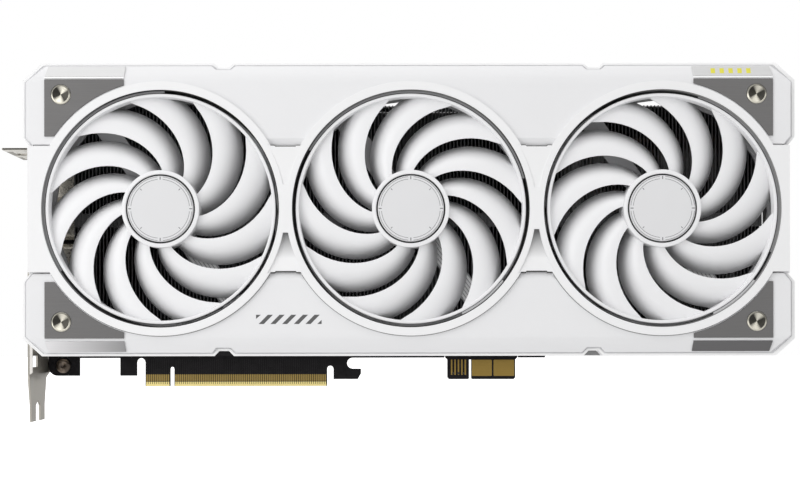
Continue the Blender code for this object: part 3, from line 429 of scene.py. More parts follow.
# Painted reflection: the top bands are painted darker towards the right and the lower bands darker from the
# left end on; the two are lit and shaded copies of one brushed metal.
TOP_BAND = Finish("brushed_band_top", (0.74, 0.74, 0.74), 0.40, Effect.BRUSHED, 5200.0, 0.12, 0.16,
                  0.10, 0.02, fade=(-130.0, 130.0, 0.89))
LOW_BAND = Finish("brushed_band_low", (0.88, 0.87, 0.88), 0.40, Effect.BRUSHED, 5200.0, 0.15, 0.16,
                  0.10, 0.02, 1.0, fade=(-158.0, -111.0, 0.20))
# Turned steel: its tone sets how dark the painted reflection makes the dark wings.
TURNED_STEEL = Finish("turned_screw_steel", (0.70, 0.67, 0.58), 0.28, Effect.TURNED, 60.0, 0.93, 0.10,
                      0.25, 0.05, 1.0)
# Dark turned screw: the same painted reflection, at a lower tone.
DARK_SCREW = Finish("board_screw_bronze", (0.27, 0.22, 0.18), 0.34, Effect.TURNED, 50.0, 0.60, 0.10,
                    0.30, 0.06, 1.0)
JOINT_PAINTED_SHADE = Finish("panel_joint_shade", (0.10, 0.10, 0.10), 0.60, Effect.MOULDED, 2400.0, specular=0.1)
CABLE_WHITE = Finish("fan_cable_white", (0.94, 0.94, 0.94), 0.50, Effect.MOULDED, 2400.0)
CLIP_GREY = Finish("cable_clip_plastic", (0.62, 0.62, 0.63), 0.50, Effect.MOULDED, 2400.0)
# Painted light and shade on the duct linings: the left is grey and painted darker towards the far left, the
# middle is near black and painted lighter towards the top, the right is near black and painted lighter
# towards the right.
DUCT_LEFT_PAINTED_SHADING = Finish("fan_duct_left", (0.24, 0.24, 0.245), 0.50, Effect.MOULDED, 2400.0, specular=0.2,
                   fade=(-158.0, -128.0, 0.06))
DUCT_MIDDLE_PAINTED_SHADING = Finish("fan_duct_middle", (0.02, 0.02, 0.02), 0.50, Effect.MOULDED, 2400.0, specular=0.2,
                     fade=(100.0, 128.0, 7.0), fade_axis=Along.Z)
DUCT_RIGHT_PAINTED_SHADING = Finish("fan_duct_right", (0.015, 0.015, 0.015), 0.50, Effect.MOULDED, 2400.0, specular=0.2,
                    fade=(90.0, 130.0, 18.0))
# Painted light: a grey lip on the duct wall, only at the angles where light falls on it.
DUCT_LIP_PAINTED_LIGHT = Finish("duct_lip_painted_light", (0.26, 0.26, 0.265), 0.50, Effect.MOULDED, 2400.0, specular=0.2)
# Painted shade: the lower facets' skins darken towards the apex, where shade falls between the rims.
FACET_PAINTED_SHADE = Finish("facet_painted_shade_white", (0.87, 0.87, 0.875), 0.45, Effect.MOULDED, 2600.0, 0.025,
                     fade=(57.0, 68.2, 0.22), fade_axis=Along.Z)
# Painted shadow: grey for the line under each rim and for the right notch's backing.
PAINTED_SHADOW_GREY = Finish("painted_shadow_grey", (0.30, 0.30, 0.30), 0.60, Effect.MOULDED, 2600.0, specular=0.1)
FRAME_GREY = Finish("fan_frame_plastic", (0.46, 0.46, 0.47), 0.52, Effect.MOULDED, 2400.0)
STATOR_IRON = Finish("stator_lamination", (0.30, 0.28, 0.26), 0.45, Effect.PLATED, 1800.0, 0.25, metallic=1.0)
BRONZE = Finish("bearing_bronze", (0.55, 0.38, 0.20), 0.35, Effect.PLATED, 1500.0, 0.20, metallic=1.0)
SHAFT_STEEL = Finish("shaft_ground_steel", (0.62, 0.61, 0.60), 0.20, Effect.PLATED, 2500.0, 0.10,
                     metallic=1.0)
MAGNET = Finish("magnet_rubber", (0.05, 0.05, 0.05), 0.65, Effect.MOULDED, 1500.0, 0.20)
BLACK_FIN = Finish("black_nickel_fin", (0.12, 0.12, 0.123), 0.36, Effect.BRUSHED, 2600.0, 0.25, metallic=0.3)
COPPER = Finish("heat_pipe_copper", (0.70, 0.42, 0.28), 0.28, Effect.PLATED, 900.0, 0.22, metallic=1.0)
BOARD_BLACK = Finish("board_solder_mask", (0.009, 0.008, 0.0095), 0.45, Effect.LAMINATE, 2200.0, 0.25, 0.12,
                     0.20, 0.03, specular=0.15)
TRACE_GREY = Finish("board_trace_line", (0.017, 0.016, 0.017), 0.50, Effect.MOULDED, 2200.0, specular=0.15)
CHIP_BLACK = Finish("chip_epoxy", (0.030, 0.030, 0.032), 0.55, Effect.MOULDED, 1900.0, 0.20)
CHOKE_GREY = Finish("choke_ferrite", (0.085, 0.083, 0.080), 0.58, Effect.MOULDED, 1600.0, 0.22)
BLACK_PLASTIC = Finish("black_connector_plastic", (0.018, 0.018, 0.018), 0.48, Effect.MOULDED, 2200.0, 0.15)
SLIDER_WHITE = Finish("switch_slider_plastic", (0.76, 0.75, 0.73), 0.42, Effect.MOULDED, 2600.0)
BACKPLATE_PAINT = Finish("backplate_paint", (0.78, 0.78, 0.79), 0.48, Effect.MOULDED, 1700.0, 0.04, bump=0.16)
NICKEL = Finish("bracket_nickel", (0.80, 0.77, 0.71), 0.40, Effect.BRUSHED, 2000.0, 0.14, metallic=0.25)
LIP_PAINTED_LIGHT = Finish("bracket_lip_painted_light", (0.82, 0.79, 0.75), 0.40, Effect.BRUSHED, 2000.0, 0.08)
FLANGE_PALE = Finish("flange_pale_nickel", (0.97, 0.95, 0.89), 0.45, Effect.BRUSHED, 2000.0, 0.04)
FLANGE_EDGE = Finish("flange_edge_nickel", (0.42, 0.41, 0.38), 0.45, Effect.BRUSHED, 2000.0, 0.08)
PORT_STEEL = Finish("port_shell_steel", (0.78, 0.74, 0.66), 0.28, Effect.PLATED, 900.0, 0.08, metallic=0.7)
GOLD = Finish("contact_gold", (0.37, 0.265, 0.09), 0.30, Effect.PLATED, 1900.0, 0.20, metallic=1.0)
# Painted highlight: a brighter copy of the contact gold for the bevelled foot.
GOLD_PAINTED_HIGHLIGHT = Finish("contact_bevel_painted_highlight", (0.95, 0.80, 0.34), 0.30, Effect.PLATED, 1900.0, 0.12,
                     metallic=1.0)
PAD_BRONZE = Finish("pad_hard_gold", (0.37, 0.25, 0.07), 0.32, Effect.BRUSHED, 2400.0, 0.30, metallic=1.0)
CAPACITOR = Finish("capacitor_sleeve", (0.12, 0.12, 0.13), 0.40, Effect.MOULDED, 1800.0, 0.15)
STUDIO_FLOOR = Finish("studio_floor", (0.90, 0.90, 0.90), 0.8, Effect.MOULDED, 40.0, 0.01, bump=0.0)


def arc(centre: Point, radius: float, start: float, end: float, steps: int) -> Loop:
    """Points along an arc.

    Args:
        centre: Middle of the arc.
        radius: Radius of the arc.
        start: First angle, in degrees.
        end: Last angle, in degrees.
        steps: Number of straight steps.

    Returns:
        The points, with both ends included.
    """
    turn = [math.radians(start + (end - start) * step / steps) for step in range(steps + 1)]
    return [(centre[0] + radius * math.cos(a), centre[1] + radius * math.sin(a)) for a in turn]


def circle(centre: Point, radius: float, steps: int = RIM_STEPS) -> Loop:
    """Points of a whole circle."""
    return arc(centre, radius, 0.0, 360.0, steps)[:-1]


def arc_band(centre: Point, inner: float, outer: float, turn: Span, steps: int) -> Loop:
    """Outline of a band that follows an arc, from its two radii and its two angles."""
    start, end = turn
    return arc(centre, outer, start, end, steps) + arc(centre, inner, end, start, steps)


def rectangle(left: float, bottom: float, right: float, top: float) -> Loop:
    """Corners of a rectangle."""
    return [(left, bottom), (right, bottom), (right, top), (left, top)]


def rounded(left: float, bottom: float, right: float, top: float, radius: float, steps: int = 5) -> Loop:
    """Outline of a rectangle with round corners.

    Args:
        left: Left edge.
        bottom: Lower edge.
        right: Right edge.
        top: Upper edge.
        radius: Radius of the corners.
        steps: Straight steps in each corner.

    Returns:
        The outline's points.
    """
    corners = [(right - radius, top - radius, 0.0), (left + radius, top - radius, 90.0)]
    corners += [(left + radius, bottom + radius, 180.0), (right - radius, bottom + radius, 270.0)]
    loop: Loop = []
    for x, z, start in corners:
        loop += arc((x, z), radius, start, start + 90.0, steps)
    return loop


def lifted(profile: Sequence[Point], level: float) -> Loop:
    """A profile of radius and Y, moved along Y to a level."""
    return [(radius, level + y) for radius, y in profile]


def blend(low: float, high: float, share: float) -> float:
    """Value at a share of the way between two values."""
    return low + (high - low) * share


class Shape:
    """A mesh in the making, in millimetres."""

    def __init__(self) -> None:
        """Start with nothing."""
        self.mesh = bmesh.new()
        self.uv = self.mesh.loops.layers.uv.new("UVMap")

    def prism(self, axis: Along, outline: Loop, start: float, end: float,
              holes: Sequence[Loop] = ()) -> "Shape":
        """Fill an outline with its holes and extrude it.

        Args:
            axis: Axis that the outline is square to.
            outline: Outer loop.
            start: Where the prism starts along the axis.
            end: Where it ends.
            holes: Inner loops.

        Returns:
            This shape, so that calls can follow each other.
        """
        loops = [outline, *holes]
        ends = [[[self.mesh.verts.new(axis.spot(across, up, along)) for across, up in loop] for loop in loops]
                for along in (start, end)]
        for near, far in zip(*ends):
            for index in range(len(near)):
                self.mesh.faces.new((near[index - 1], near[index], far[index], far[index - 1]))
        flat = [[Vector((across, up, 0.0)) for across, up in loop] for loop in loops]
        for rings in ends:
            corners = [corner for ring in rings for corner in ring]
            triples = tessellate_polygon(flat) if holes else [range(len(corners))]
            for triple in triples:
                self.mesh.faces.new([corners[index] for index in triple])
        return self

    def block(self, x: Point, y: Point, z: Point) -> "Shape":
        """Add a box from its range in X, Y and Z."""
        return self.prism(Along.Y, rectangle(x[0], z[0], x[1], z[1]), y[0], y[1])

    def turn(self, profile: Sequence[Point], steps: int, centre: Point = (0.0, 0.0),
             closed: bool = False) -> "Shape":
        """Spin a profile of radius and Y about an axis along Y, with its radius and angle as UV.

        Args:
            profile: Points of radius and Y.
            steps: Number of steps round the axis.
            centre: Where the axis is, in X and Z.
            closed: Whether the profile is a loop.

        Returns:
            This shape.
        """
        rings = []
        for radius, y in profile:
            spots = circle(centre, radius, steps) if radius > ON_AXIS else [centre]
            rings.append([self.mesh.verts.new(Along.Y.spot(x, z, y)) for x, z in spots])
        pairs = list(zip(rings, rings[1:]))
        if closed:
            pairs.append((rings[-1], rings[0]))
        for first, second in pairs:
            for step in range(steps):
                after = (step + 1) % steps
                corners = [first[step % len(first)], first[after % len(first)]]
                corners += [second[after % len(second)], second[step % len(second)]]
                face = self.mesh.faces.new(list(dict.fromkeys(corners)))
                for loop in face.loops:
                    place = loop.vert.co
                    reach = math.hypot(place.x - centre[0], place.z - centre[1])
                    loop[self.uv].uv = (reach / UV_RADIUS, step / steps)
        return self

    def strip(self, rows: Sequence[Sequence[Vector]]) -> "Shape":
        """Skin closed rows of points, and cap both ends.

        Args:
            rows: Closed rows with the same number of points.

        Returns:
            This shape.
        """
        made = [[self.mesh.verts.new(place) for place in row] for row in rows]
        count = len(made[0])
        for inner, outer in zip(made, made[1:]):
            for index in range(count):
                after = (index + 1) % count
                self.mesh.faces.new((inner[index], inner[after], outer[after], outer[index]))
        for row in (made[0], made[-1]):
            for index in range(count // 2 - 1):
                far = count - 1 - index
                self.mesh.faces.new((row[index], row[index + 1], row[far - 1], row[far]))
        return self

    def piece(self, name: str, finish: Optional[Finish] = None, place: Matrix = TO_CARD) -> Piece:
        """Make the shape an object in metres, in the card's place.

        Args:
            name: Name of the object.
            finish: Its finish, if it has one.
            place: Matrix from the shape's millimetres to metres.

        Returns:
            The object, at the origin with its place in its mesh.
        """
        bmesh.ops.recalc_face_normals(self.mesh, faces=self.mesh.faces)
        self.mesh.transform(place)
        data = bpy.data.meshes.new(name)
        self.mesh.to_mesh(data)
        self.mesh.free()
        if finish is not None:
            data.materials.append(finish.make())
        made = bpy.data.objects.new(name, data)
        bpy.context.scene.collection.objects.link(made)
        return made


def settle(piece: Piece) -> Piece:
    """Make the result of a piece's modifiers its own plain mesh.

    Args:
        piece: The piece with its modifiers.

    Returns:
        The same piece, without modifiers.
    """
    evaluated = piece.evaluated_get(bpy.context.evaluated_depsgraph_get())
    data = bpy.data.meshes.new_from_object(evaluated)
    data.name = piece.name
    old = piece.data
    piece.modifiers.clear()
    piece.data = data
    bpy.data.meshes.remove(old)
    return piece


def carve(piece: Piece, cut: Shape, operation: str = "DIFFERENCE") -> Piece:
    """Cut a shape from a piece, or join it on.

    Args:
        piece: The piece to change.
        cut: The shape to take away or add.
        operation: Name of the Boolean operation.

    Returns:
        The same piece, with a plain mesh.
    """
    tool = cut.piece(f"{piece.name}_tool")
    modifier = piece.modifiers.new("carve", "BOOLEAN")
    modifier.operation = operation
    modifier.solver = "EXACT"
    modifier.object = tool
    settle(piece)
    bpy.data.objects.remove(tool, do_unlink=True)
    return piece


def tidy_mesh(piece: Piece) -> None:
    """Merge doubles and flat triangles, so that edges can be rounded cleanly.

    Args:
        piece: The piece to clean.
    """
    mesh = bmesh.new()
    mesh.from_mesh(piece.data)
    bmesh.ops.remove_doubles(mesh, verts=mesh.verts, dist=MERGE_DISTANCE)
    limit = math.radians(FLAT_ANGLE)
    bmesh.ops.dissolve_limit(mesh, angle_limit=limit, verts=mesh.verts, edges=mesh.edges)
    mesh.to_mesh(piece.data)
    mesh.free()


def round_edges(piece: Piece, width: float, angle: float = SHARP_ANGLE) -> Piece:
    """Round a piece's sharp edges and shade it smoothly with flat faces kept flat.

    Args:
        piece: The piece to finish.
        width: Width of the rounding, in millimetres; zero leaves the edges sharp.
        angle: Edges sharper than this are rounded, in degrees.

    Returns:
        The same piece, with a plain mesh.
    """
    piece.data.shade_smooth()
    if width > 0.0:
        bevel = piece.modifiers.new("round", "BEVEL")
        bevel.width = width * MM
        bevel.segments = BEVEL_STEPS
        bevel.limit_method = "ANGLE"
        bevel.angle_limit = math.radians(angle)
        bevel.use_clamp_overlap = True
    else:
        piece.data.set_sharp_from_angle(angle=math.radians(angle))
    weight = piece.modifiers.new("weight", "WEIGHTED_NORMAL")
    weight.keep_sharp = True
    weight.weight = NORMAL_WEIGHT
    return settle(piece)


def copy_node(node: str, name: str, finish: Finish, width: float, angle: float = SHARP_ANGLE) -> Piece:
    """Take a merged copy of a CAD node and round its edges.

    Args:
        node: Name of the node.
        name: Name of the new piece.
        finish: Its finish.
        width: Width of the rounding, in millimetres.
        angle: Edges sharper than this are rounded, in degrees.

    Returns:
        The new piece.
    """
    data = frame["nodes"][node].data.copy()
    data.name = name
    data.materials.clear()
    data.materials.append(finish.make())
    made = bpy.data.objects.new(name, data)
    bpy.context.scene.collection.objects.link(made)
    tidy_mesh(made)
    return round_edges(made, width, angle)


def fit(piece: Piece, body: str, slot: str, *nodes: str) -> None:
    """Hang a piece on its body and report it.

    Args:
        piece: The finished piece.
        body: CAD body that it moves with.
        slot: Material slot of the record; not used.
        nodes: CAD nodes that it stands for.
    """
    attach(piece, body)
    if nodes:
        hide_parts(*nodes)
    LOG.info("%s rides on %s, %d faces", piece.name, body, len(piece.data.polygons))


class Repeat(Enum):
    """Ways to repeat a shape with Geometry Nodes."""

    LINE = "repeat_in_line"
    ROUND = "repeat_in_ring"


def repeat_tree(kind: Repeat) -> bpy.types.NodeTree:
    """Geometry node tree that repeats a shape along a line or round an axis.

    Args:
        kind: Which repeat to build.

    Returns:
        The tree, with named inputs for its sizes.
    """
    known = bpy.data.node_groups.get(kind.value)
    if known is not None:
        return known
    tree = bpy.data.node_groups.new(kind.value, "GeometryNodeTree")
    sockets = [("Shape", "NodeSocketGeometry"), ("Count", "NodeSocketInt"), ("Step", "NodeSocketVector"),
               ("Turn", "NodeSocketFloat"), ("Centre", "NodeSocketVector"), ("Finish", "NodeSocketMaterial")]
    for name, socket in sockets:
        tree.interface.new_socket(name=name, in_out="INPUT", socket_type=socket)
    tree.interface.new_socket(name="Shape", in_out="OUTPUT", socket_type="NodeSocketGeometry")
    draft = Draft(tree)
    given = draft.node("NodeGroupInput").outputs
    line = draft.out("GeometryNodeMeshLine", {"Count": given["Count"], "Offset": given["Step"]})
    spots = {"Points": line, "Instance": given["Shape"]}
    copies = draft.node("GeometryNodeInstanceOnPoints", spots)
    if kind is Repeat.ROUND:
        angle = draft.math("MULTIPLY", draft.out("GeometryNodeInputIndex"), given["Turn"])
        euler = draft.out("ShaderNodeCombineXYZ", {"Y": angle})
        turn = draft.out("FunctionNodeEulerToRotation", {0: euler})
        tree.links.new(turn, copies.inputs["Rotation"])
    real = draft.out("GeometryNodeRealizeInstances", {0: copies.outputs[0]})
    moved = draft.out("GeometryNodeTransform", {"Geometry": real, "Translation": given["Centre"]})
    dressed = draft.out("GeometryNodeSetMaterial", {"Geometry": moved, "Material": given["Finish"]})
    draft.node("NodeGroupOutput", {0: dressed})
    return tree


def repeat(name: str, shape: Shape, finish: Finish, kind: Repeat, count: int,
           step: Sequence[float] = (0.0, 0.0, 0.0), centre: Sequence[float] = (0.0, 0.0, 0.0),
           rounding: float = 0.0) -> Piece:
    """Repeat a shape with Geometry Nodes and make the result a plain piece.

    Args:
        name: Name of the piece.
        shape: The shape to repeat, in millimetres.
        finish: Finish of the piece.
        kind: Along a line or round an axis along Y.
        count: Number of copies.
        step: Step between copies in a line, in millimetres.
        centre: Middle of the ring, or start of the line, in X, Y and Z.
        rounding: Edge rounding of one copy, in millimetres.

    Returns:
        The piece, at the origin with its place in its mesh.
    """
    made = shape.piece(name, place=Matrix.Scale(MM, 4))
    round_edges(made, rounding)
    tree = repeat_tree(kind)
    modifier = made.modifiers.new("repeat", "NODES")
    modifier.node_group = tree
    values = {"Count": count, "Step": tuple(Vector(step) * MM), "Turn": 2.0 * math.pi / count,
              "Centre": tuple(TO_CARD @ Vector(centre)), "Finish": finish.make()}
    for item in tree.interface.items_tree:
        if item.in_out == "INPUT" and item.name in values:
            modifier[item.identifier] = values[item.name]
    return settle(made)


def mount(shape: Shape, name: str, finish: Finish, slot: str, *nodes: str, rounding: float = 0.0,
          angle: float = SHARP_ANGLE, body: str = CARD) -> None:
    """Make a shape a finished piece and hang it on its body.

    Args:
        shape: The shape, in millimetres.
        name: Name of the piece.
        finish: Its finish.
        slot: Material slot of the record.
        nodes: CAD nodes that it stands for.
        rounding: Edge rounding, in millimetres.
        angle: Edges sharper than this stay edges, in degrees.
        body: CAD body that it moves with.
    """
    fit(round_edges(shape.piece(name, finish), rounding, angle), body, slot, *nodes)


def refit(node: str, name: str, finish: Finish, slot: str, rounding: float, angle: float = SHARP_ANGLE,
          body: str = CARD) -> None:
    """Put a finished copy of a CAD node in its place.

    Args:
        node: Name of the node.
        name: Name of the piece.
        finish: Its finish.
        slot: Material slot of the record.
        rounding: Edge rounding, in millimetres.
        angle: Edges sharper than this are rounded, in degrees.
        body: CAD body that it moves with.
    """
    fit(copy_node(node, name, finish, rounding, angle), body, slot, node)


def dress(node: str, finish: Finish) -> None:
    """Give a CAD node that stays as it is a procedural finish.

    Args:
        node: Name of the node.
        finish: Its finish.
    """
    thing = frame["nodes"][node]
    thing.data.materials.clear()
    thing.data.materials.append(finish.make())
    LOG.info("%s keeps its solid", node)


@dataclass(frozen=True)
class Border:
    """One outline of the housing: chamfered corners, and ends that step in beside the rims."""

    left: float
    right: float
    bottom: float
    top: float
    ends: Span
    notch_widths: Span
    corner: Point = (8.2, 7.4)
    block_corner: Point = (3.0, 3.7)
    notches: Span = (-81.4, 79.5)
    notch_depths: Span = (2.2, 1.75)

    def dip(self, x: float, edge: float, depth: float) -> Loop:
        """Trapezoid notch in a long edge, drawn from left to right."""
        wide, narrow = (width / 2.0 for width in self.notch_widths)
        return [(x - wide, edge), (x - narrow, edge + depth), (x + narrow, edge + depth), (x + wide, edge)]

    def loop(self, below: float, above: float) -> Loop:
        """Draw the outline.

        Args:
            below: Lower edge of the step in the ends.
            above: Upper edge of the step.

        Returns:
            The outline's points in X and Z.
        """
        sides = []
        for edge, step, inward in ((self.right, self.ends[1], -1.0), (self.left, self.ends[0], 1.0)):
            corner, block = edge + inward * self.corner[0], edge + inward * self.block_corner[0]
            sides.append([
                (corner, self.bottom), (edge, self.bottom + self.corner[1]),
                (edge, below - self.block_corner[1]), (block, below), (step, below),
                (step, above), (block, above), (edge, above + self.block_corner[1]),
                (edge, self.top - self.corner[1]), (corner, self.top),
            ])
        lower = [spot for x in self.notches for spot in self.dip(x, self.bottom, self.notch_depths[0])]
        upper = [spot for x in self.notches for spot in self.dip(x, self.top, -self.notch_depths[1])]
        return sides[0] + upper[::-1] + sides[1][::-1] + lower


@dataclass
class Housing:
    """White front housing: the shroud, the bezel with its rims, and the prints on them."""

    shell: Border = Border(-166.6, 164.45, 16.05, 140.75, (-165.7, 163.8), (10.3, 6.5))
    groove: Border = Border(-168.2, 166.0, 15.6, 141.2, (-166.1, 164.4), (9.4, 5.4))
    flange: Border = Border(-169.0, 167.2, 14.6, 142.1, (-166.5, 165.0), (8.5, 4.3))
    front: float = -56.0
    flange_front: float = -52.0
    flange_reach: float = 0.4
    groove_back: float = -51.45
    back: float = -20.0
    rise: float = 6.15
    depth: float = 3.0
    overcut: float = 4.0
    rounding: float = 0.45
    cavity: Box = (-164.6, 19.2, 162.6, 137.8)
    cavity_corner: float = 6.0
    cavity_front: float = -51.8
    bridge_bottom: float = 50.8
    bridge_top: float = 105.8
    bed_gap: float = 0.3
    step_halves: Span = (4.7, 4.4)
    step_depth: float = 0.45
    slope_y: Span = (1.7, -0.3)
    slope_foot: float = 1.0
    slope_reach: float = 3.6
    slope_half: float = 13.0
    trench_back: float = -53.6
    trench_size: Span = (7.8, 0.55)
    trench_inset: float = 2.6
    opening_back: float = -46.0
    joint_half: float = 6.9
    joint_width: float = 0.55
    joint_y: Span = (-0.9, 0.28)
    fill_y: Span = (-50.6, -42.0)
    fill_depth: float = 1.0
    rim_front: float = -57.5
    rim_outer: float = 55.0
    rim_inner: float = 51.4
    rim_steps: int = 56
    bezel_gap: float = 0.2
    bezel_back: float = -54.7
    bezel_rounding: float = 0.25
    facet_radius: float = 54.1
    facet_apex: float = 1.1
    facet_upper: Span = (0.12, 0.5)
    facet_lower: Span = (0.6, 2.5)
    facet_foot: float = 0.4
    facet_over: float = 2.0
    facet_steps: int = 14
    skin_foot: float = -0.9
    skin_y: Span = (-0.05, 0.02)
    # Where the painted shadow line under each rim lies.
    line_reach: Span = (-0.1, 0.33)
    line_turn: Span = (211.0, 329.0)
    line_y: Span = (-0.1, 0.3)
    duct_inner: float = 51.0
    duct_outer: float = 52.7
    duct_front: float = -57.0
    duct_back: float = -40.3
    duct_chamfer: float = 0.5
    duct_gap: float = 0.03
    duct_step: float = 0.05
    band_overlap: float = 0.05
    band_steps: int = 48
    # Angles of the grey lips that paint the light falling on each duct wall.
    lit_lip_turns: tuple[Span, ...] = ((88.0, 212.0), (15.0, 150.0), (-22.0, 72.0))
    lip_inner: float = 50.22
    lip_y: Span = (-56.0, -55.2)
    clip_turn: Span = (296.0, 322.0)
    clip_inner: float = 50.15
    clip_y: Span = (-55.8, -44.0)
    posts_x: Span = (-54.2, 54.5)
    posts_z: Span = (28.0, 122.0)
    post_steps: int = 32
    post_profile: Profile = (
        (0.0, -51.7), (3.4, -51.7), (3.0, -49.0), (2.7, -36.8), (1.2, -36.8), (1.2, -44.0), (0.0, -44.0),
    )
    ink_y: Span = (-0.05, 0.02)
    stripes: int = 5
    stripe_first: float = -65.8
    stripe_pitch: float = 5.07
    stripe_foot: Span = (-0.15, 2.05)
    stripe_slant: float = 3.96
    stripe_x: Span = (-67.1, -38.7)
    stripe_z: Span = (28.5, 32.5)
    stub_widths: Span = (2.05, 1.85)
    stub_height: float = 1.75

    @property
    def gaps(self) -> list[float]:
        """Middle of each bridge between two fans."""
        places = [side.centre[0] for side in Side]
        return [(first + second) / 2.0 for first, second in zip(places, places[1:])]

    @property
    def bed(self) -> Span:
        """Lower and upper edge of the bed that the bezel lies in."""
        return (self.bridge_bottom - self.bed_gap, self.bridge_top + self.bed_gap)

    def step(self, middle: float, z: float, inward: float) -> Loop:
        """Small step in the joint between the panel and one bridge, drawn from left to right.

        Args:
            middle: Middle of the bridge.
            z: Height of the joint.
            inward: Plus one if the step goes up, minus one if it goes down.

        Returns:
            The step's four points.
        """
        outer, inner = self.step_halves
        deep = z + inward * self.step_depth
        return [(middle - outer, z), (middle - inner, deep), (middle + inner, deep), (middle + outer, z)]

    def cut_chamfers(self) -> Shape:
        """Wedges that take off the front edge along the top and the bottom.

        Returns:
            Both wedges as one shape.
        """
        over, slope = self.overcut, self.rise / self.depth
        cut = Shape()
        for edge, outward in ((self.shell.top, 1.0), (self.shell.bottom, -1.0)):
            outside = edge + outward * over * slope
            outline = [
                (self.front - over, edge - outward * (self.rise + over * slope)),
                (self.front - over, outside),
                (self.front + self.depth + over, outside),
            ]
            cut.prism(Along.X, outline, self.flange.left - over, self.flange.right + over)
        return cut

    def cut_bed(self) -> Shape:
        """Sunk bed of the bezel, with a small step at each bridge.

        Returns:
            The bed's room as a shape.
        """
        low, high = self.bed
        left, right = self.flange.left - self.overcut, self.flange.right + self.overcut
        lower = [spot for gap in self.gaps for spot in self.step(gap, low, 1.0)]
        upper = [spot for gap in self.gaps for spot in self.step(gap, high, -1.0)]
        outline = [(left, low), *lower, (right, low), (right, high), *reversed(upper), (left, high)]
        return Shape().prism(Along.Y, outline, self.rim_front - self.overcut, self.bezel_back + self.bed_gap)

    def cut_slopes(self) -> Shape:
        """Slopes that lead from the panel down to each bridge.

        Returns:
            Four wedges, two for each bridge.
        """
        foot, head = (self.front + offset for offset in self.slope_y)
        outside = self.front - self.overcut
        cut = Shape()
        for middle in self.gaps:
            for edge, outward in zip(self.bed, (-1.0, 1.0)):
                near, far = edge - outward * self.slope_foot, edge + outward * self.slope_reach
                outline = [(foot, near), (head, far), (outside, far), (outside, near)]
                cut.prism(Along.X, outline, middle - self.slope_half, middle + self.slope_half)
        return cut

    def cut_trenches(self) -> Shape:
        """Narrow joints that end the blocks, along both long edges of the bed.

        Returns:
            Four narrow blocks.
        """
        length, width = self.trench_size
        left, right = self.shell.left + self.trench_inset, self.shell.right - self.trench_inset
        y = (self.rim_front - self.overcut, self.trench_back)
        cut = Shape()
        for z, inward in zip(self.bed, (1.0, -1.0)):
            low, high = sorted((z + inward * self.bed_gap, z + inward * (self.bed_gap - width)))
            for x in ((left, left + length), (right - length, right)):
                cut.block(x, y, (low, high))
        return cut

    def cut_openings(self) -> Shape:
        """Round opening for each fan.

        Returns:
            Three round plugs.
        """
        cut = Shape()
        for side in Side:
            outline = circle(side.centre, self.duct_outer + self.bed_gap)
            cut.prism(Along.Y, outline, self.rim_front - self.overcut, self.opening_back)
        return cut

    def mark_flange(self, shroud: Piece) -> None:
        """Give the front face of the flange its own, paler finish: a lit copy of the white plastic, painted
        light that grows brighter towards the right.

        Args:
            shroud: The finished shroud.
        """
        shroud.data.materials.append(FLANGE_PAINTED_LIGHT.make())
        for face in shroud.data.polygons:
            offset = abs(face.center.y / MM - self.flange_front)
            if face.normal.y < FACES_FRONT and offset < self.flange_reach:
                face.material_index = 1

    def build_shroud(self) -> None:
        """Open-backed housing with the bezel's bed, fan openings, chamfers and notches."""
        block = Shape().prism(Along.Y, self.flange.loop(*self.bed), self.flange_front, self.back)
        shroud = block.piece("front_shroud", WHITE_PLASTIC)
        groove, shell = self.groove.loop(*self.bed), self.shell.loop(*self.bed)
        carve(shroud, Shape().prism(Along.Y, groove, self.flange_front - self.overcut, self.groove_back))
        carve(shroud, Shape().prism(Along.Y, shell, self.front, self.back), "UNION")
        hollow = rounded(*self.cavity, self.cavity_corner, steps=1)
        carve(shroud, Shape().prism(Along.Y, hollow, self.cavity_front, self.back + self.overcut))
        cuts = (self.cut_chamfers, self.cut_bed, self.cut_slopes, self.cut_trenches, self.cut_openings)
        for cut in cuts:
            carve(shroud, cut())
        tidy_mesh(shroud)
        round_edges(shroud, self.rounding)
        self.mark_flange(shroud)
        fit(shroud, CARD, "white_plastic", "shroud")

    def build_joints(self) -> None:
        """Dark floor of the joints between the panel and the bridges: painted shade in the narrow gaps."""
        front, back = (self.bezel_back + offset for offset in self.joint_y)
        shape = Shape()
        for gap in self.gaps:
            for z, inward in zip(self.bed, (1.0, -1.0)):
                line = [(gap - self.joint_half, z), *self.step(gap, z, inward), (gap + self.joint_half, z)]
                wide = [(x, level + inward * self.joint_width) for x, level in reversed(line)]
                shape.prism(Along.Y, line + wide, front, back)
        mount(shape, "bridge_joints", JOINT_PAINTED_SHADE, "white_plastic")

    def build_fills(self) -> None:
        """Backing behind the two lower notches, painted shade: black on the left and grey on the right."""
        # Sheets of painted shade stand for the shaded inside seen through the notches.
        fills = ((Side.LEFT, BOARD_BLACK), (Side.RIGHT, PAINTED_SHADOW_GREY))
        for x, y, (side, finish) in zip(self.flange.notches, self.fill_y, fills):
            outline = self.flange.dip(x, self.flange.bottom, self.flange.notch_depths[0])
            fill = Shape().prism(Along.Y, outline, y, y + self.fill_depth)
            mount(fill, f"notch_fill_{side.value}", finish, "white_plastic")

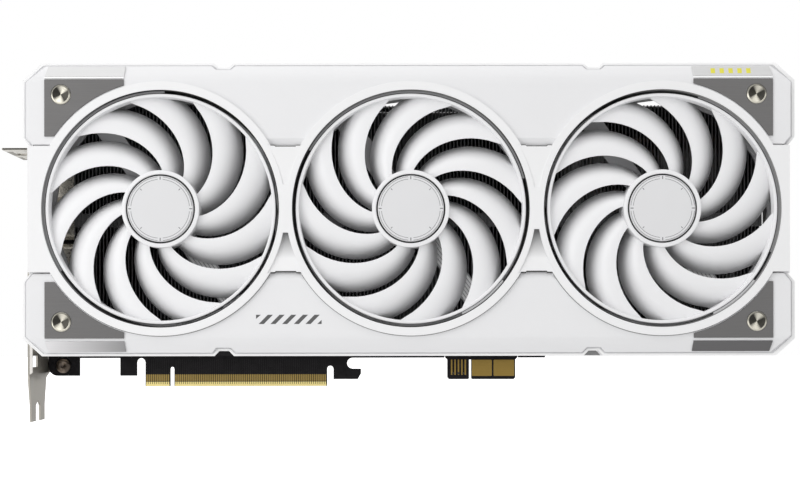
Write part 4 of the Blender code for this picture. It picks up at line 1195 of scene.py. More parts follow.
    def bezel_outline(self) -> Loop:
        """Outline of the bridge plate and the three rims together.

        Returns:
            The outline's points in X and Z.
        """
        top, bottom = self.bridge_top - self.bezel_gap, self.bridge_bottom + self.bezel_gap
        rise, drop = top - Side.MIDDLE.centre[1], Side.MIDDLE.centre[1] - bottom
        above = math.degrees(math.asin(rise / self.rim_outer))
        below = math.degrees(math.asin(drop / self.rim_outer))
        first, last = self.shell.ends
        lower: Loop = []
        upper: Loop = []
        for side, gap in zip(Side, (*self.gaps, None)):
            lower += arc(side.centre, self.rim_outer, 180.0 + below, 360.0 - below, self.rim_steps)
            upper += arc(side.centre, self.rim_outer, 180.0 - above, above, self.rim_steps)
            if gap is not None:
                lower += self.step(gap, bottom, 1.0)
                upper += self.step(gap, top, -1.0)
        return [(first, bottom), *lower, (last, bottom), (last, top), *reversed(upper), (first, top)]

    def add_facet(self, shape: Shape, before: Side, after: Side, outward: float, skin: bool) -> None:
        """Add the wedge that sinks one three-cornered facet between two rims, or a thin skin on it.

        Args:
            shape: Shape that the wedge or the skin goes into.
            before: Fan to the left of the facet.
            after: Fan to the right of it.
            outward: Plus one above the axes, minus one below.
            skin: Whether to draw the skin.
        """
        radius, steps = self.facet_radius, self.facet_steps
        level = before.centre[1]
        shallow, deep = self.facet_upper if outward > 0.0 else self.facet_lower
        bridge = self.bridge_top if outward > 0.0 else self.bridge_bottom
        foot = bridge + outward * self.facet_foot
        base = bridge + outward * self.skin_foot if skin else foot
        half = (after.centre[0] - before.centre[0]) / 2.0 - self.facet_apex
        low = math.degrees(math.acos(half / radius))
        high = math.degrees(math.asin(abs(base - level) / radius))
        sides = arc(before.centre, radius, low, high, steps)
        sides += arc(after.centre, radius, 180.0 - high, 180.0 - low, steps)
        loop = [(x, level + outward * (z - level)) for x, z in sides]
        apex = loop[0][1]
        shape.prism(Along.Y, loop, self.rim_front - self.facet_over, self.rim_front)
        shape.mesh.verts.ensure_lookup_table()
        face, under = self.skin_y if skin else (0.0, 0.0)
        for vert in shape.mesh.verts[-2 * len(loop) if skin else -len(loop):]:
            share = (vert.co.z - foot) / (apex - foot)
            offset = face if vert.co.y < self.rim_front - self.facet_over / 2.0 else under
            vert.co.y = self.rim_front + blend(shallow, deep, share) + offset

    def facets(self, outwards: Sequence[float], skin: bool) -> Shape:
        """Facets between neighbouring rims, as wedges to sink or as thin skins.

        Args:
            outwards: Which facets: plus one above the axes, minus one below.
            skin: Whether to draw skins.

        Returns:
            All of them as one shape.
        """
        shape = Shape()
        for before, after in ((Side.LEFT, Side.MIDDLE), (Side.MIDDLE, Side.RIGHT)):
            for outward in outwards:
                self.add_facet(shape, before, after, outward, skin)
        return shape

    def build_bezel(self) -> None:
        """Bezel with its facets, and thin skins on the lower ones with painted shade, darker towards the
        apex.
        """
        holes = [circle(side.centre, self.rim_inner) for side in Side]
        shape = Shape().prism(Along.Y, self.bezel_outline(), self.rim_front, self.bezel_back, holes)
        bezel = shape.piece("fan_bezel_face", WHITE_RIM)
        carve(bezel, self.facets((1.0, -1.0), False))
        tidy_mesh(bezel)
        fit(round_edges(bezel, self.bezel_rounding), CARD, "white_plastic", "fan_bezel")
        # Skins on the lower facets carry painted shade, darker towards the apex.
        mount(self.facets((-1.0,), True), "facet_skins", FACET_PAINTED_SHADE, "white_plastic")

    def build_lines(self) -> None:
        """Thin dark line along the lower half of each rim, at its joint with the panel: painted shadow of the
        raised rim.
        """
        inner, outer = (self.rim_outer + reach for reach in self.line_reach)
        front, back = (self.front + offset for offset in self.line_y)
        shape = Shape()
        for side in Side:
            outline = arc_band(side.centre, inner, outer, self.line_turn, self.band_steps)
            shape.prism(Along.Y, outline, front, back)
        mount(shape, "rim_joint_shadows", PAINTED_SHADOW_GREY, "white_plastic")

    def build_band(self, side: Side, name: str, turn: Span, radius: float, y: Span, finish: Finish) -> None:
        """Fit a curved band on the inside of one duct.

        Args:
            side: Fan that the duct belongs to.
            name: Name of the piece.
            turn: Angles where the band starts and ends.
            radius: Inner radius of the band.
            y: Its front and back.
            finish: Its finish.
        """
        outline = arc_band(side.centre, radius, self.duct_inner + self.band_overlap, turn, self.band_steps)
        mount(Shape().prism(Along.Y, outline, *y), name, finish, "white_plastic")

    def build_ducts(self) -> None:
        """Duct behind each rim with its narrow lip, and the clip that leads a fan's cable past the wheel; the
        duct linings and lips carry painted light and shade.
        """
        inner, front, back = self.duct_inner, self.duct_front, self.duct_back
        outer, step = self.rim_inner - self.duct_gap, self.bezel_back + self.duct_step
        profile = [(inner, front), (outer, front), (outer, step), (self.duct_outer, step)]
        chamfer = self.duct_chamfer
        profile += [(self.duct_outer, back), (inner + chamfer, back), (inner, back - chamfer)]
        for side, finish, turn in zip(Side, (DUCT_LEFT_PAINTED_SHADING, DUCT_MIDDLE_PAINTED_SHADING, DUCT_RIGHT_PAINTED_SHADING), self.lit_lip_turns):
            duct = Shape().turn(profile, RIM_STEPS, side.centre, True)
            mount(duct, f"fan_duct_{side.value}", finish, "white_plastic")
            self.build_band(side, f"duct_lip_{side.value}", turn, self.lip_inner, self.lip_y, DUCT_LIP_PAINTED_LIGHT)
            if side is not Side.LEFT:
                name = f"cable_clip_{side.value}"
                self.build_band(side, name, self.clip_turn, self.clip_inner, self.clip_y, CLIP_GREY)

    def build_posts(self) -> None:
        """Posts inside the shroud that stand on the fins."""
        low, high = self.posts_z
        step = (0.0, 0.0, high - low)
        for index, x in enumerate(self.posts_x):
            post = Shape().turn(self.post_profile, self.post_steps)
            name = f"shroud_posts_{index + 1}"
            posts = repeat(name, post, WHITE_PLASTIC, Repeat.LINE, 2, step, (x, 0.0, low))
            fit(posts, CARD, "white_plastic")

    def build_prints(self) -> None:
        """Slanted warning stripes on the lower panel, printed as thin ink."""
        (low, high), (first, last), (start, end) = self.stripe_z, self.stripe_x, self.stripe_foot
        ink = [self.front + offset for offset in self.ink_y]
        bar = [(start, low), (end, low), (end + self.stripe_slant, high), (start + self.stripe_slant, high)]
        stripe = Shape().prism(Along.Y, bar, *ink)
        bars = repeat("stripe_bars", stripe, PRINT_GREY, Repeat.LINE, self.stripes,
                      (self.stripe_pitch, 0.0, 0.0), (self.stripe_first, 0.0, 0.0))
        fit(bars, CARD, "white_plastic")
        wide, narrow = self.stub_widths
        upper = [(first, high), (first, high - self.stub_height), (first + wide, high)]
        lower = [(last, low), (last, low + self.stub_height), (last - narrow, low)]
        ends = Shape().prism(Along.Y, upper, *ink).prism(Along.Y, lower, *ink)
        mount(ends, "stripe_ends", PRINT_GREY, "white_plastic")

    def build(self) -> None:
        """Build every piece of the housing."""
        self.build_shroud()
        self.build_bezel()
        self.build_joints()
        self.build_lines()
        self.build_fills()
        self.build_ducts()
        self.build_posts()
        self.build_prints()


@dataclass
class CornerTrims:
    """Four brushed corner plates with the bands over the chamfer, and their screws."""

    housing: Housing
    length: float = 34.4
    thickness: float = 0.5
    lift: float = 0.08
    arc_radius: float = 55.7
    arc_steps: int = 192
    outer_x: Span = (-158.6, 156.8)
    inner_z: Span = (46.8, 109.8)
    screw_x: Span = (-151.4, 149.7)
    screw_z: Span = (29.5, 127.9)
    screw_radius: float = 4.2
    screw_gap: float = 0.15
    hole_steps: int = 64
    screw_steps: int = 72
    screw_profile: Profile = (
        (0.0, -0.42), (0.35, -0.40), (0.5, -0.28), (1.0, -0.32), (2.4, -0.62), (3.35, -0.98),
        (3.55, -1.05), (3.75, -1.05), (4.2, -0.7), (4.2, 0.0), (0.0, 0.0),
    )
    overcut: float = 2.0
    rounding: float = 0.12
    margin: float = 0.1
    band_start: float = 1.0
    band_end: float = 5.5
    slants: Span = (1.1, 0.4)
    fold_gap: float = 0.12
    fold_rounding: float = 0.1
    ticks: int = 5
    tick_first: float = 130.1
    tick_pitch: float = 3.86
    tick_width: float = 1.9
    tick_climbs: Span = (2.1, 4.4)
    tick_ink: float = 0.05

    @property
    def face(self) -> float:
        """How far the face of a plate stands off the housing."""
        return self.lift + self.thickness

    def build_plate(self, name: str, side: Side, x: Span, z: Span, screw: Point) -> Piece:
        """Flat plate that follows the rim and clears its screw.

        Args:
            name: Name of the corner.
            side: Fan beside it.
            x: Range in X.
            z: Range in Z.
            screw: Where its screw is, in X and Z.

        Returns:
            The plate, with its edges rounded.
        """
        front = self.housing.front
        outline = rectangle(x[0], z[0], x[1], z[1])
        plate = Shape().prism(Along.Y, outline, front - self.face, front - self.lift)
        cut = Shape()
        hole = circle(screw, self.screw_radius + self.screw_gap, self.hole_steps)
        for loop in (circle(side.centre, self.arc_radius, self.arc_steps), hole):
            cut.prism(Along.Y, loop, front - self.face - self.overcut, front + self.overcut)
        made = carve(plate.piece(f"{name}_plate", TRIM_PLATE), cut)
        tidy_mesh(made)
        return round_edges(made, self.rounding)

    def on_slope(self, fold: float, outward: float, climbs: Span, rises: Span) -> Loop:
        """Section of a strip that lies along a chamfer.

        Args:
            fold: Height where the chamfer starts.
            outward: Plus one for the top edge, minus one for the bottom.
            climbs: Where the strip starts and ends, measured up from the fold.
            rises: Its underside and its face, measured off the chamfer.

        Returns:
            The section's points in Y and Z.
        """
        house = self.housing
        length = math.hypot(house.rise, house.depth)
        section: Loop = []
        for climb, rise in rectangle(climbs[0], rises[0], climbs[1], rises[1]):
            y = house.front + house.depth * climb / house.rise - house.rise / length * rise
            section.append((y, fold + outward * (climb + house.depth / length * rise)))
        return section

    def build_fold(self, name: str, x: Span, fold: float) -> None:
        """Strip that fills the fold between a top plate and its band, whiter than the shell as a painted
        highlight.

        Args:
            name: Name of the corner.
            x: Range of the strip in X.
            fold: Height where the chamfer starts.
        """
        climbs = (self.fold_gap, self.band_start - self.fold_gap)
        strip = Shape().prism(Along.X, self.on_slope(fold, 1.0, climbs, (0.0, self.face)), *x)
        mount(strip, f"{name}_fold", FOLD_PAINTED_HIGHLIGHT, "white_plastic", rounding=self.fold_rounding)

    def build_band(self, name: str, x: Span, edge: float, outward: float, inward: float) -> None:
        """Band that lies on the long chamfer above or below the plate, with slanted ends.

        Args:
            name: Name of the corner.
            x: Range of the band in X.
            edge: Height of the shell's long edge.
            outward: Plus one for the top edge, minus one for the bottom.
            inward: Plus one if the middle of the card lies towards plus X.
        """
        fold = edge - outward * self.housing.rise
        outline = self.on_slope(fold, outward, (self.band_start, self.band_end), (self.lift, self.face))
        band = Shape().prism(Along.X, outline, *x)
        middle = sum(x) / 2.0
        for vert in band.mesh.verts:
            share = (outward * (vert.co.z - fold) - self.band_start) / (self.band_end - self.band_start)
            slant = self.slants[0] if inward * (vert.co.x - middle) < 0.0 else self.slants[1]
            vert.co.x += inward * slant * share
        # Top and lower bands take lit and shaded copies of the metal, with painted reflection.
        finish = TOP_BAND if outward > 0.0 else LOW_BAND
        mount(band, f"{name}_band", finish, "brushed_trim", rounding=self.rounding)

    def build_ticks(self) -> None:
        """Row of small yellow marks on the upper right band."""
        fold = self.housing.shell.top - self.housing.rise
        outline = self.on_slope(fold, 1.0, self.tick_climbs, (self.face, self.face + self.tick_ink))
        mark = Shape().prism(Along.X, outline, 0.0, self.tick_width)
        marks = repeat("band_ticks", mark, PRINT_YELLOW, Repeat.LINE, self.ticks,
                       (self.tick_pitch, 0.0, 0.0), (self.tick_first, 0.0, 0.0))
        fit(marks, CARD, "brushed_trim")

    def build(self) -> None:
        """Build the four corners."""
        house = self.housing
        profile = lifted(self.screw_profile, house.front - self.lift)
        levels = (("bottom", -1.0, house.shell.bottom), ("top", 1.0, house.shell.top))
        for (level, outward, edge), inner, screw_z in zip(levels, self.inner_z, self.screw_z):
            fold = edge - outward * (house.rise + self.margin)
            for side, outer, screw_x in zip((Side.LEFT, Side.RIGHT), self.outer_x, self.screw_x):
                corner = f"{level}_{side.value}"
                name, screw = f"trim_{corner}", (screw_x, screw_z)
                inward = 1.0 if side is Side.LEFT else -1.0
                x = tuple(sorted((outer, outer + inward * self.length)))
                plate = self.build_plate(name, side, x, tuple(sorted((inner, fold))), screw)
                fit(plate, CARD, "brushed_trim", name)
                self.build_band(name, x, edge, outward, inward)
                if outward > 0.0:
                    self.build_fold(name, x, edge - house.rise)
                head = Shape().turn(profile, self.screw_steps, screw)
                mount(head, f"corner_screw_{corner}", TURNED_STEEL, "polished_screw", f"trim_screw_{corner}",
                      angle=TURNED_ANGLE)
        self.build_ticks()


TIP_ANGLES = {Side.LEFT: 107.2, Side.MIDDLE: 67.3, Side.RIGHT: 129.8}


@dataclass
class FanWheel:
    """One fan wheel with its hub cap; the blades follow one rule for all three."""

    side: Side
    tip_angle: float
    blades: int = 11
    sweep: float = 52.0
    sweep_power: float = 0.9
    chord: float = 27.6
    front: float = -54.0
    depth_root: float = 11.8
    depth_tip: float = 9.5
    curve: float = 3.2
    thickness: float = 1.1
    edge_share: float = 0.35
    edge_lead: float = 0.12
    edge_power: float = 0.6
    stations: int = 16
    chord_steps: int = 14
    overlaps: Span = (1.0, 0.6)
    hub_radius: float = 16.6
    hub_inner: float = 14.4
    hub_front: float = -55.2
    hub_floor: float = -53.2
    hub_back: float = -42.0
    ring_inner: float = 48.4
    ring_outer: float = 49.95
    ring_front: float = -56.2
    ring_back: float = -50.4
    ring_edges: Profile = ((0.0, 0.5), (0.2, 0.1), (0.5, 0.0))
    cap_radius: float = 14.3
    cap_front: float = -57.0
    cap_back: float = -55.3
    cap_edges: Profile = ((0.7, 0.0), (0.25, 0.12), (0.0, 0.5))
    lip_inner: float = 15.0
    lip_outer: float = 16.85
    lip_front: float = -56.7
    lip_bevel: float = 0.25
    lip_edges: Profile = ((0.6, 0.0), (0.15, 0.15), (0.0, 0.6))
    joint_y: Span = (-55.5, -55.1)
    joint_gaps: Span = (0.1, 0.02)
    ink_y: Span = (-0.03, 0.02)
    line_radii: Span = (12.7, 13.75)
    line_half: float = 0.09
    line_turn: Span = (5.0, 85.0)
    line_steps: int = 24
    ticks: int = 4
    tick_outer: Box = (12.6, -0.2, 13.9, 0.2)
    tick_inner: Box = (11.3, -0.16, 12.2, 0.16)

    def blade_row(self, radius: float) -> list[Vector]:
        """Closed section of a blade at one radius, front face first.

        Args:
            radius: Distance from the axis.

        Returns:
            Points of the section, about the fan's own axis.
        """
        share = min(max((radius - self.hub_radius) / (self.ring_inner - self.hub_radius), 0.0), 1.0)
        lead = self.sweep * (1.0 - share) ** self.sweep_power
        depth = blend(self.depth_root, self.depth_tip, share)
        faces: tuple[list[Vector], list[Vector]] = ([], [])
        for step in range(self.chord_steps + 1):
            along = step / self.chord_steps
            angle = math.radians(self.tip_angle - self.side.hand * (lead + self.chord * along))
            y = self.front + depth * along ** self.curve
            swell = math.sin(math.pi * min(along + self.edge_lead, 1.0)) ** self.edge_power
            body = self.thickness * (self.edge_share + (1.0 - self.edge_share) * swell)
            for face, offset in zip(faces, (0.0, body)):
                face.append(Vector((radius * math.cos(angle), y + offset, radius * math.sin(angle))))
        return faces[0] + faces[1][::-1]

    def build_blades(self) -> Piece:
        """Eleven swept blades, repeated round the axis.

        Returns:
            All the blades as one piece.
        """
        start, end = self.hub_radius - self.overlaps[0], self.ring_inner + self.overlaps[1]
        radii = [blend(start, end, step / self.stations) for step in range(self.stations + 1)]
        blade = Shape().strip([self.blade_row(radius) for radius in radii])
        x, z = self.side.centre
        name = f"fan_blades_{self.side.value}"
        return repeat(name, blade, WHITE_BLADE, Repeat.ROUND, self.blades, centre=(x, 0.0, z))

    def wheel(self) -> Shape:
        """Hub shell with its raised lip, and the thin outer ring.

        Returns:
            Hub and ring as one shape.
        """
        lip, bevel = self.lip_front, self.lip_bevel
        profile = [(0.0, self.hub_front), (self.lip_inner, self.hub_front)]
        profile += [(self.lip_inner, lip + bevel), (self.lip_inner + bevel, lip)]
        profile += [(self.lip_outer - inset, lip + drop) for inset, drop in self.lip_edges]
        profile += [(self.lip_outer, self.hub_back), (self.hub_inner, self.hub_back)]
        profile += [(self.hub_inner, self.hub_floor), (0.0, self.hub_floor)]
        shape = Shape().turn(profile, HUB_STEPS, self.side.centre)
        inner, outer, front, back = self.ring_inner, self.ring_outer, self.ring_front, self.ring_back
        ring = [(inner + inset, front + drop) for inset, drop in self.ring_edges]
        ring += [(outer - inset, front + drop) for inset, drop in reversed(self.ring_edges)]
        return shape.turn(ring + [(outer, back), (inner, back)], RIM_STEPS, self.side.centre, True)

    def cap(self) -> Shape:
        """Hub cap with a soft edge.

        Returns:
            The cap's shape.
        """
        edge, front, back = self.cap_radius, self.cap_front, self.cap_back
        profile = [(0.0, front), *((edge - inset, front + drop) for inset, drop in self.cap_edges)]
        return Shape().turn(profile + [(edge, back), (0.0, back)], HUB_STEPS, self.side.centre)

    def cap_joint(self) -> Shape:
        """Dark floor of the joint round the cap: painted shade in the gap.

        Returns:
            A flat ring.
        """
        inner, outer = self.cap_radius - self.joint_gaps[0], self.lip_inner + self.joint_gaps[1]
        front, back = self.joint_y
        profile = [(inner, front), (outer, front), (outer, back), (inner, back)]
        return Shape().turn(profile, HUB_STEPS, self.side.centre, True)

    def build_lines(self) -> Piece:
        """Two fine broken ring lines and eight ticks on the cap, repeated in quarters.

        Returns:
            The lines and ticks as one piece.
        """
        ink = [self.cap_front + offset for offset in self.ink_y]
        shape = Shape()
        for radius in self.line_radii:
            inner, outer = radius - self.line_half, radius + self.line_half
            shape.prism(Along.Y, arc_band((0.0, 0.0), inner, outer, self.line_turn, self.line_steps), *ink)
        shape.prism(Along.Y, rectangle(*self.tick_outer), *ink)
        slant = math.sqrt(0.5)
        tick = [(slant * (x - z), slant * (x + z)) for x, z in rectangle(*self.tick_inner)]
        shape.prism(Along.Y, tick, *ink)
        x, z = self.side.centre
        name = f"hub_cap_lines_{self.side.value}"
        return repeat(name, shape, CAP_LINE, Repeat.ROUND, self.ticks, centre=(x, 0.0, z))

    def build(self) -> None:
        """Build the wheel and hang it on its own body."""
        side, body = self.side.value, self.side.body
        mount(self.wheel(), f"fan_wheel_{side}", WHITE_BLADE, "white_blade", f"rotor_{side}",
              angle=TURNED_ANGLE, body=body)
        fit(self.build_blades(), body, "white_blade", f"rotor_{side}")
        mount(self.cap(), f"hub_cap_face_{side}", CAP_WHITE, "hub_cap_white", f"hub_cap_{side}",
              angle=TURNED_ANGLE, body=body)
        fit(self.build_lines(), body, "hub_cap_white")
        mount(self.cap_joint(), f"hub_cap_joint_{side}", CAP_JOINT_PAINTED_SHADE, "hub_cap_white", body=body)


@dataclass
class FanBase:
    """Fixed half of one fan: frame, motor and the flat cable along one strut."""

    side: Side
    strut_angle: float = 306.0
    strut_front: float = -39.6
    wires: int = 6
    wire: float = 0.95
    pitch: float = 1.3
    reach: Span = (16.0, 50.6)
    wire_y: Span = (-0.06, 0.02)
    frame_rounding: float = 0.3
    stator_rounding: float = 0.15

    def cable(self) -> Shape:
        """Pale flat cable of separate wires that lies on the strut.

        Returns:
            The wires as one shape.
        """
        first = -self.pitch * (self.wires - 1) / 2.0
        front, back = (self.strut_front + offset for offset in self.wire_y)
        turn = Matrix.Rotation(math.radians(self.strut_angle), 2)
        centre = Vector(self.side.centre)
        start, end = self.reach
        shape = Shape()
        for wire in range(self.wires):
            middle = first + wire * self.pitch
            loop = rectangle(start, middle - self.wire / 2.0, end, middle + self.wire / 2.0)
            shape.prism(Along.Y, [tuple(turn @ Vector(spot) + centre) for spot in loop], front, back)
        return shape

    def build(self) -> None:
        """Round the frame and the stator, and dress the motor's parts."""
        side = self.side.value
        refit(f"fan_frame_{side}", f"fan_mount_{side}", FRAME_GREY, "fan_frame_grey", self.frame_rounding)
        mount(self.cable(), f"fan_cable_{side}", CABLE_WHITE, "fan_frame_grey")
        refit(f"stator_{side}", f"fan_stator_{side}", STATOR_IRON, "stator_iron", self.stator_rounding)
        dress(f"bearing_{side}", BRONZE)
        dress(f"shaft_{side}", SHAFT_STEEL)
        dress(f"magnet_ring_{side}", MAGNET)


@dataclass
class Cooler:
    """Fin stack on its base, with the pipes and plates behind it."""

    left: float = -150.0
    right: float = 157.0
    bottom: float = 22.0
    top: float = 126.0
    step_x: float = -54.6
    step_top: float = 130.2
    front: float = -36.5
    base_front: float = -15.0
    base_back: float = -12.6
    base_rounding: float = 0.25
    root: float = 0.5
    pitch: float = 1.6
    fin: float = 0.42
    lip: float = 0.35
    lip_gap: float = 0.12
    lip_inset: float = 4.0
    tie_z: Span = (72.0, 78.0)
    vent: Box = (68.0, 36.0, 148.0, 114.0)
    vent_corner: float = 3.0
    strip_x: Span = (156.9, 162.3)
    strip_depth: float = 0.8
    strip_rise: float = 8.0
    strip_rounding: float = 0.2
    pipes: int = 5
    pipe_angle: float = 50.0
    plate_rounding: float = 0.3
    package_rounding: float = 0.15
    memory_chips: int = 8
    memory_rounding: float = 0.12

    def build_row(self, name: str, left: float, right: float, top: float) -> None:
        """Thin fins with folded lips, repeated along a stretch of the card.

        Args:
            name: Name of the row.
            left: Where the row starts.
            right: Where it ends.
            top: Upper edge of its fins.
        """
        shape = Shape().block((0.0, self.fin), (self.front, self.base_front + self.root), (self.bottom, top))
        fold = (self.fin, self.pitch - self.lip_gap)
        for z in ((self.bottom, self.bottom + self.lip), (top - self.lip, top)):
            shape.block(fold, (self.front + self.lip_inset, self.base_front - self.lip_inset), z)
        shape.block(fold, (self.front, self.front + self.lip), self.tie_z)
        count = int((right - left - self.pitch) / self.pitch) + 1
        row = repeat(name, shape, BLACK_FIN, Repeat.LINE, count, (self.pitch, 0.0, 0.0), (left, 0.0, 0.0))
        fit(row, CARD, "black_fin", "fin_stack")

    def build_fins(self) -> None:
        """Taller fins on the left and lower ones beside them, on a base with a window, and an end strip."""
        self.build_row("fin_rows_tall", self.left, self.step_x, self.step_top)
        self.build_row("fin_rows_low", self.step_x, self.right, self.top)
        outline = [(self.left, self.bottom), (self.right, self.bottom), (self.right, self.top)]
        outline += [(self.step_x, self.top), (self.step_x, self.step_top), (self.left, self.step_top)]
        window = rounded(*self.vent, self.vent_corner)
        base = Shape().prism(Along.Y, outline, self.base_front, self.base_back, [window])
        mount(base, "fin_base", BLACK_FIN, "black_fin", rounding=self.base_rounding)
        y = (self.front, self.front + self.strip_depth)
        strip = Shape().block(self.strip_x, y, (self.bottom + self.strip_rise, self.top))
        mount(strip, "fin_end_strip", CHOKE_GREY, "black_fin", rounding=self.strip_rounding)

    def build_behind(self) -> None:
        """Heat pipes, cold plate, chip and memory."""
        for pipe in range(1, self.pipes + 1):
            refit(f"heat_pipe_{pipe}", f"pipe_{pipe}", COPPER, "copper", 0.0, self.pipe_angle)
        refit("cold_plate", "cold_plate_copper", COPPER, "copper", self.plate_rounding)
        refit("gpu_package", "chip_package", CHIP_BLACK, "chip_black", self.package_rounding)
        for chip in range(1, self.memory_chips + 1):
            refit(f"memory_chip_{chip}", f"memory_{chip}", CHIP_BLACK, "chip_black", self.memory_rounding)

    def build(self) -> None:
        """Build the cooler."""
        self.build_fins()
        self.build_behind()


@dataclass
class Board:
    """Board with its gold edge, the power tab and its socket, and the parts along its edges."""

    face: float = 0.785
    rounding: float = 0.1
    long_left: float = -110.925
    long_length: float = 71.65
    long_count: int = 71
    short_left: float = -124.475
    short_count: int = 11
    row_inset: float = 0.3
    pitch: float = 1.0
    contact_y: Span = (-0.05, 0.02)
    contact_width: float = 0.72
    contact_top: float = 5.5
    contact_foot: float = 2.4
    contact_toe: float = 1.0
    toe_gap: float = 0.3
    foot_bottom: float = 0.05
    trace_inset: float = 0.2
    trace_top: float = 12.6
    edge_bevel: float = 1.3
    tab_y: Span = (-0.06, 0.02)
    tab_rounding: float = 0.12
    socket_rounding: float = 0.35
    stripes: int = 5
    stripe_size: Box = (0.0, 5.1, 0.7, 12.3)
    stripe_pitch: float = 1.6
    stripe_first: float = 18.8
    dots: int = 3
    dot_z: float = 5.9
    dot_radius: float = 0.55
    dot_steps: int = 24
    dot_rise: float = 0.04
    dot_pitch: float = 2.4
    dot_first: float = 19.9
    pads_x: tuple[Span, ...] = ((28.6, 38.0), (38.8, 48.5))
    pads_z: Span = (4.6, 12.2)
    pad_corner: float = 0.4
    choke_rows: tuple[tuple[str, float, int], ...] = (("chokes_left", -104.0, 5), ("chokes_right", 18.0, 4))
    choke_x: Span = (0.0, 7.4)
    choke_y: Span = (-4.6, -0.2)
    choke_z: Span = (0.0, 7.0)
    choke_pitch: float = 9.6
    choke_bottom: float = 104.0
    choke_rounding: float = 0.5
    can_profile: Profile = (
        (0.0, -5.0), (2.5, -5.0), (2.9, -4.6), (2.9, -0.9), (2.6, -0.6), (2.9, -0.2), (0.0, -0.2),
    )
    can_steps: int = 28
    cans: int = 7
    can_pitch: float = 7.2
    can_first: Point = (-58.0, 109.5)

    def contact_row(self, name: str, left: float, count: int, front: bool) -> None:
        """One row of edge contacts on one face of the board, with its foot in a lit copy of the gold as a
        painted highlight, and the traces above.

        Args:
            name: Name of the row.
            left: Where its edge starts.
            count: Number of contacts.
            front: Whether the row is on the face towards the fans.
        """
        y = [-self.face + offset for offset in self.contact_y]
        if not front:
            y = [-place for place in reversed(y)]
        step = (self.pitch, 0.0, 0.0)
        start = (left + (self.pitch - self.contact_width) / 2.0, 0.0, 0.0)
        width, inset = self.contact_width, self.trace_inset
        toe_top = self.contact_foot - self.toe_gap
        for kind, finish, outline in (
                ("contacts", GOLD, rectangle(0.0, self.contact_foot, width, self.contact_top)),
                ("traces", TRACE_GREY, rectangle(inset, self.contact_top, width - inset, self.trace_top)),
                ("toes", GOLD_PAINTED_HIGHLIGHT, rectangle(0.0, self.contact_toe, width, toe_top))):
            shape = Shape().prism(Along.Y, outline, *y)
            fit(repeat(f"{name}_{kind}", shape, finish, Repeat.LINE, count, step, start), CARD, "board_black")
        foot = rectangle(left, self.foot_bottom, left + count * self.pitch, self.contact_toe)
        mount(Shape().prism(Along.Y, foot, *y), f"{name}_foot", GOLD_PAINTED_HIGHLIGHT, "board_black")

    def build_edge(self) -> None:
        """Gold contacts of the slot edge on both faces, and the corners of the edge."""
        corners = Shape()
        size = self.edge_bevel
        for x, inward in ((self.short_left, 1.0), (self.long_left + self.long_length, -1.0)):
            corners.prism(Along.Y, [(x, 0.0), (x + inward * size, 0.0), (x, size)], -self.face, self.face)
        mount(corners, "edge_corners", BOARD_BLACK, "board_black")
        for face, front in (("front", True), ("back", False)):
            self.contact_row(f"long_{face}", self.long_left + self.row_inset, self.long_count, front)
            self.contact_row(f"short_{face}", self.short_left + self.row_inset, self.short_count, front)

    def build_tab(self) -> None:
        """Power tab with its narrow stripes and two wide pads, and the socket behind it."""
        front, back = (-self.face + offset for offset in self.tab_y)
        stripe = Shape().prism(Along.Y, rectangle(*self.stripe_size), front, back)
        stripes = repeat("tab_stripes", stripe, PAD_BRONZE, Repeat.LINE, self.stripes,
                         (self.stripe_pitch, 0.0, 0.0), (self.stripe_first, 0.0, 0.0))
        fit(stripes, CARD, "board_black")
        disc = circle((0.0, self.dot_z), self.dot_radius, self.dot_steps)
        dot = Shape().prism(Along.Y, disc, front - self.dot_rise, back)
        dots = repeat("tab_dots", dot, BLACK_PLASTIC, Repeat.LINE, self.dots,
                      (self.dot_pitch, 0.0, 0.0), (self.dot_first, 0.0, 0.0))
        fit(dots, CARD, "board_black")
        pads = Shape()
        low, high = self.pads_z
        for left, right in self.pads_x:
            pads.prism(Along.Y, rounded(left, low, right, high, self.pad_corner), front, back)
        mount(pads, "tab_pads", PAD_BRONZE, "board_black")
        refit("power_tab", "tab_board", BOARD_BLACK, "board_black", self.tab_rounding)
        refit("power_socket", "tab_socket", BLACK_PLASTIC, "black_plastic", self.socket_rounding)

    def build_parts(self) -> None:
        """Chokes and capacitors along the top of the board."""
        y = tuple(-self.face + offset for offset in self.choke_y)
        for name, left, count in self.choke_rows:
            choke = Shape().block(self.choke_x, y, self.choke_z)
            row = repeat(name, choke, CHOKE_GREY, Repeat.LINE, count, (self.choke_pitch, 0.0, 0.0),
                         (left, 0.0, self.choke_bottom), self.choke_rounding)
            fit(row, CARD, "chip_black")
        can = Shape().turn(lifted(self.can_profile, -self.face), self.can_steps)
        x, z = self.can_first
        cans = repeat("capacitor_row", can, CAPACITOR, Repeat.LINE, self.cans,
                      (self.can_pitch, 0.0, 0.0), (x, 0.0, z))
        fit(cans, CARD, "chip_black")

    def build(self) -> None:
        """Build the board and what stands on it."""
        refit("pcb", "main_board", BOARD_BLACK, "board_black", self.rounding)
        self.build_edge()
        self.build_tab()
        self.build_parts()


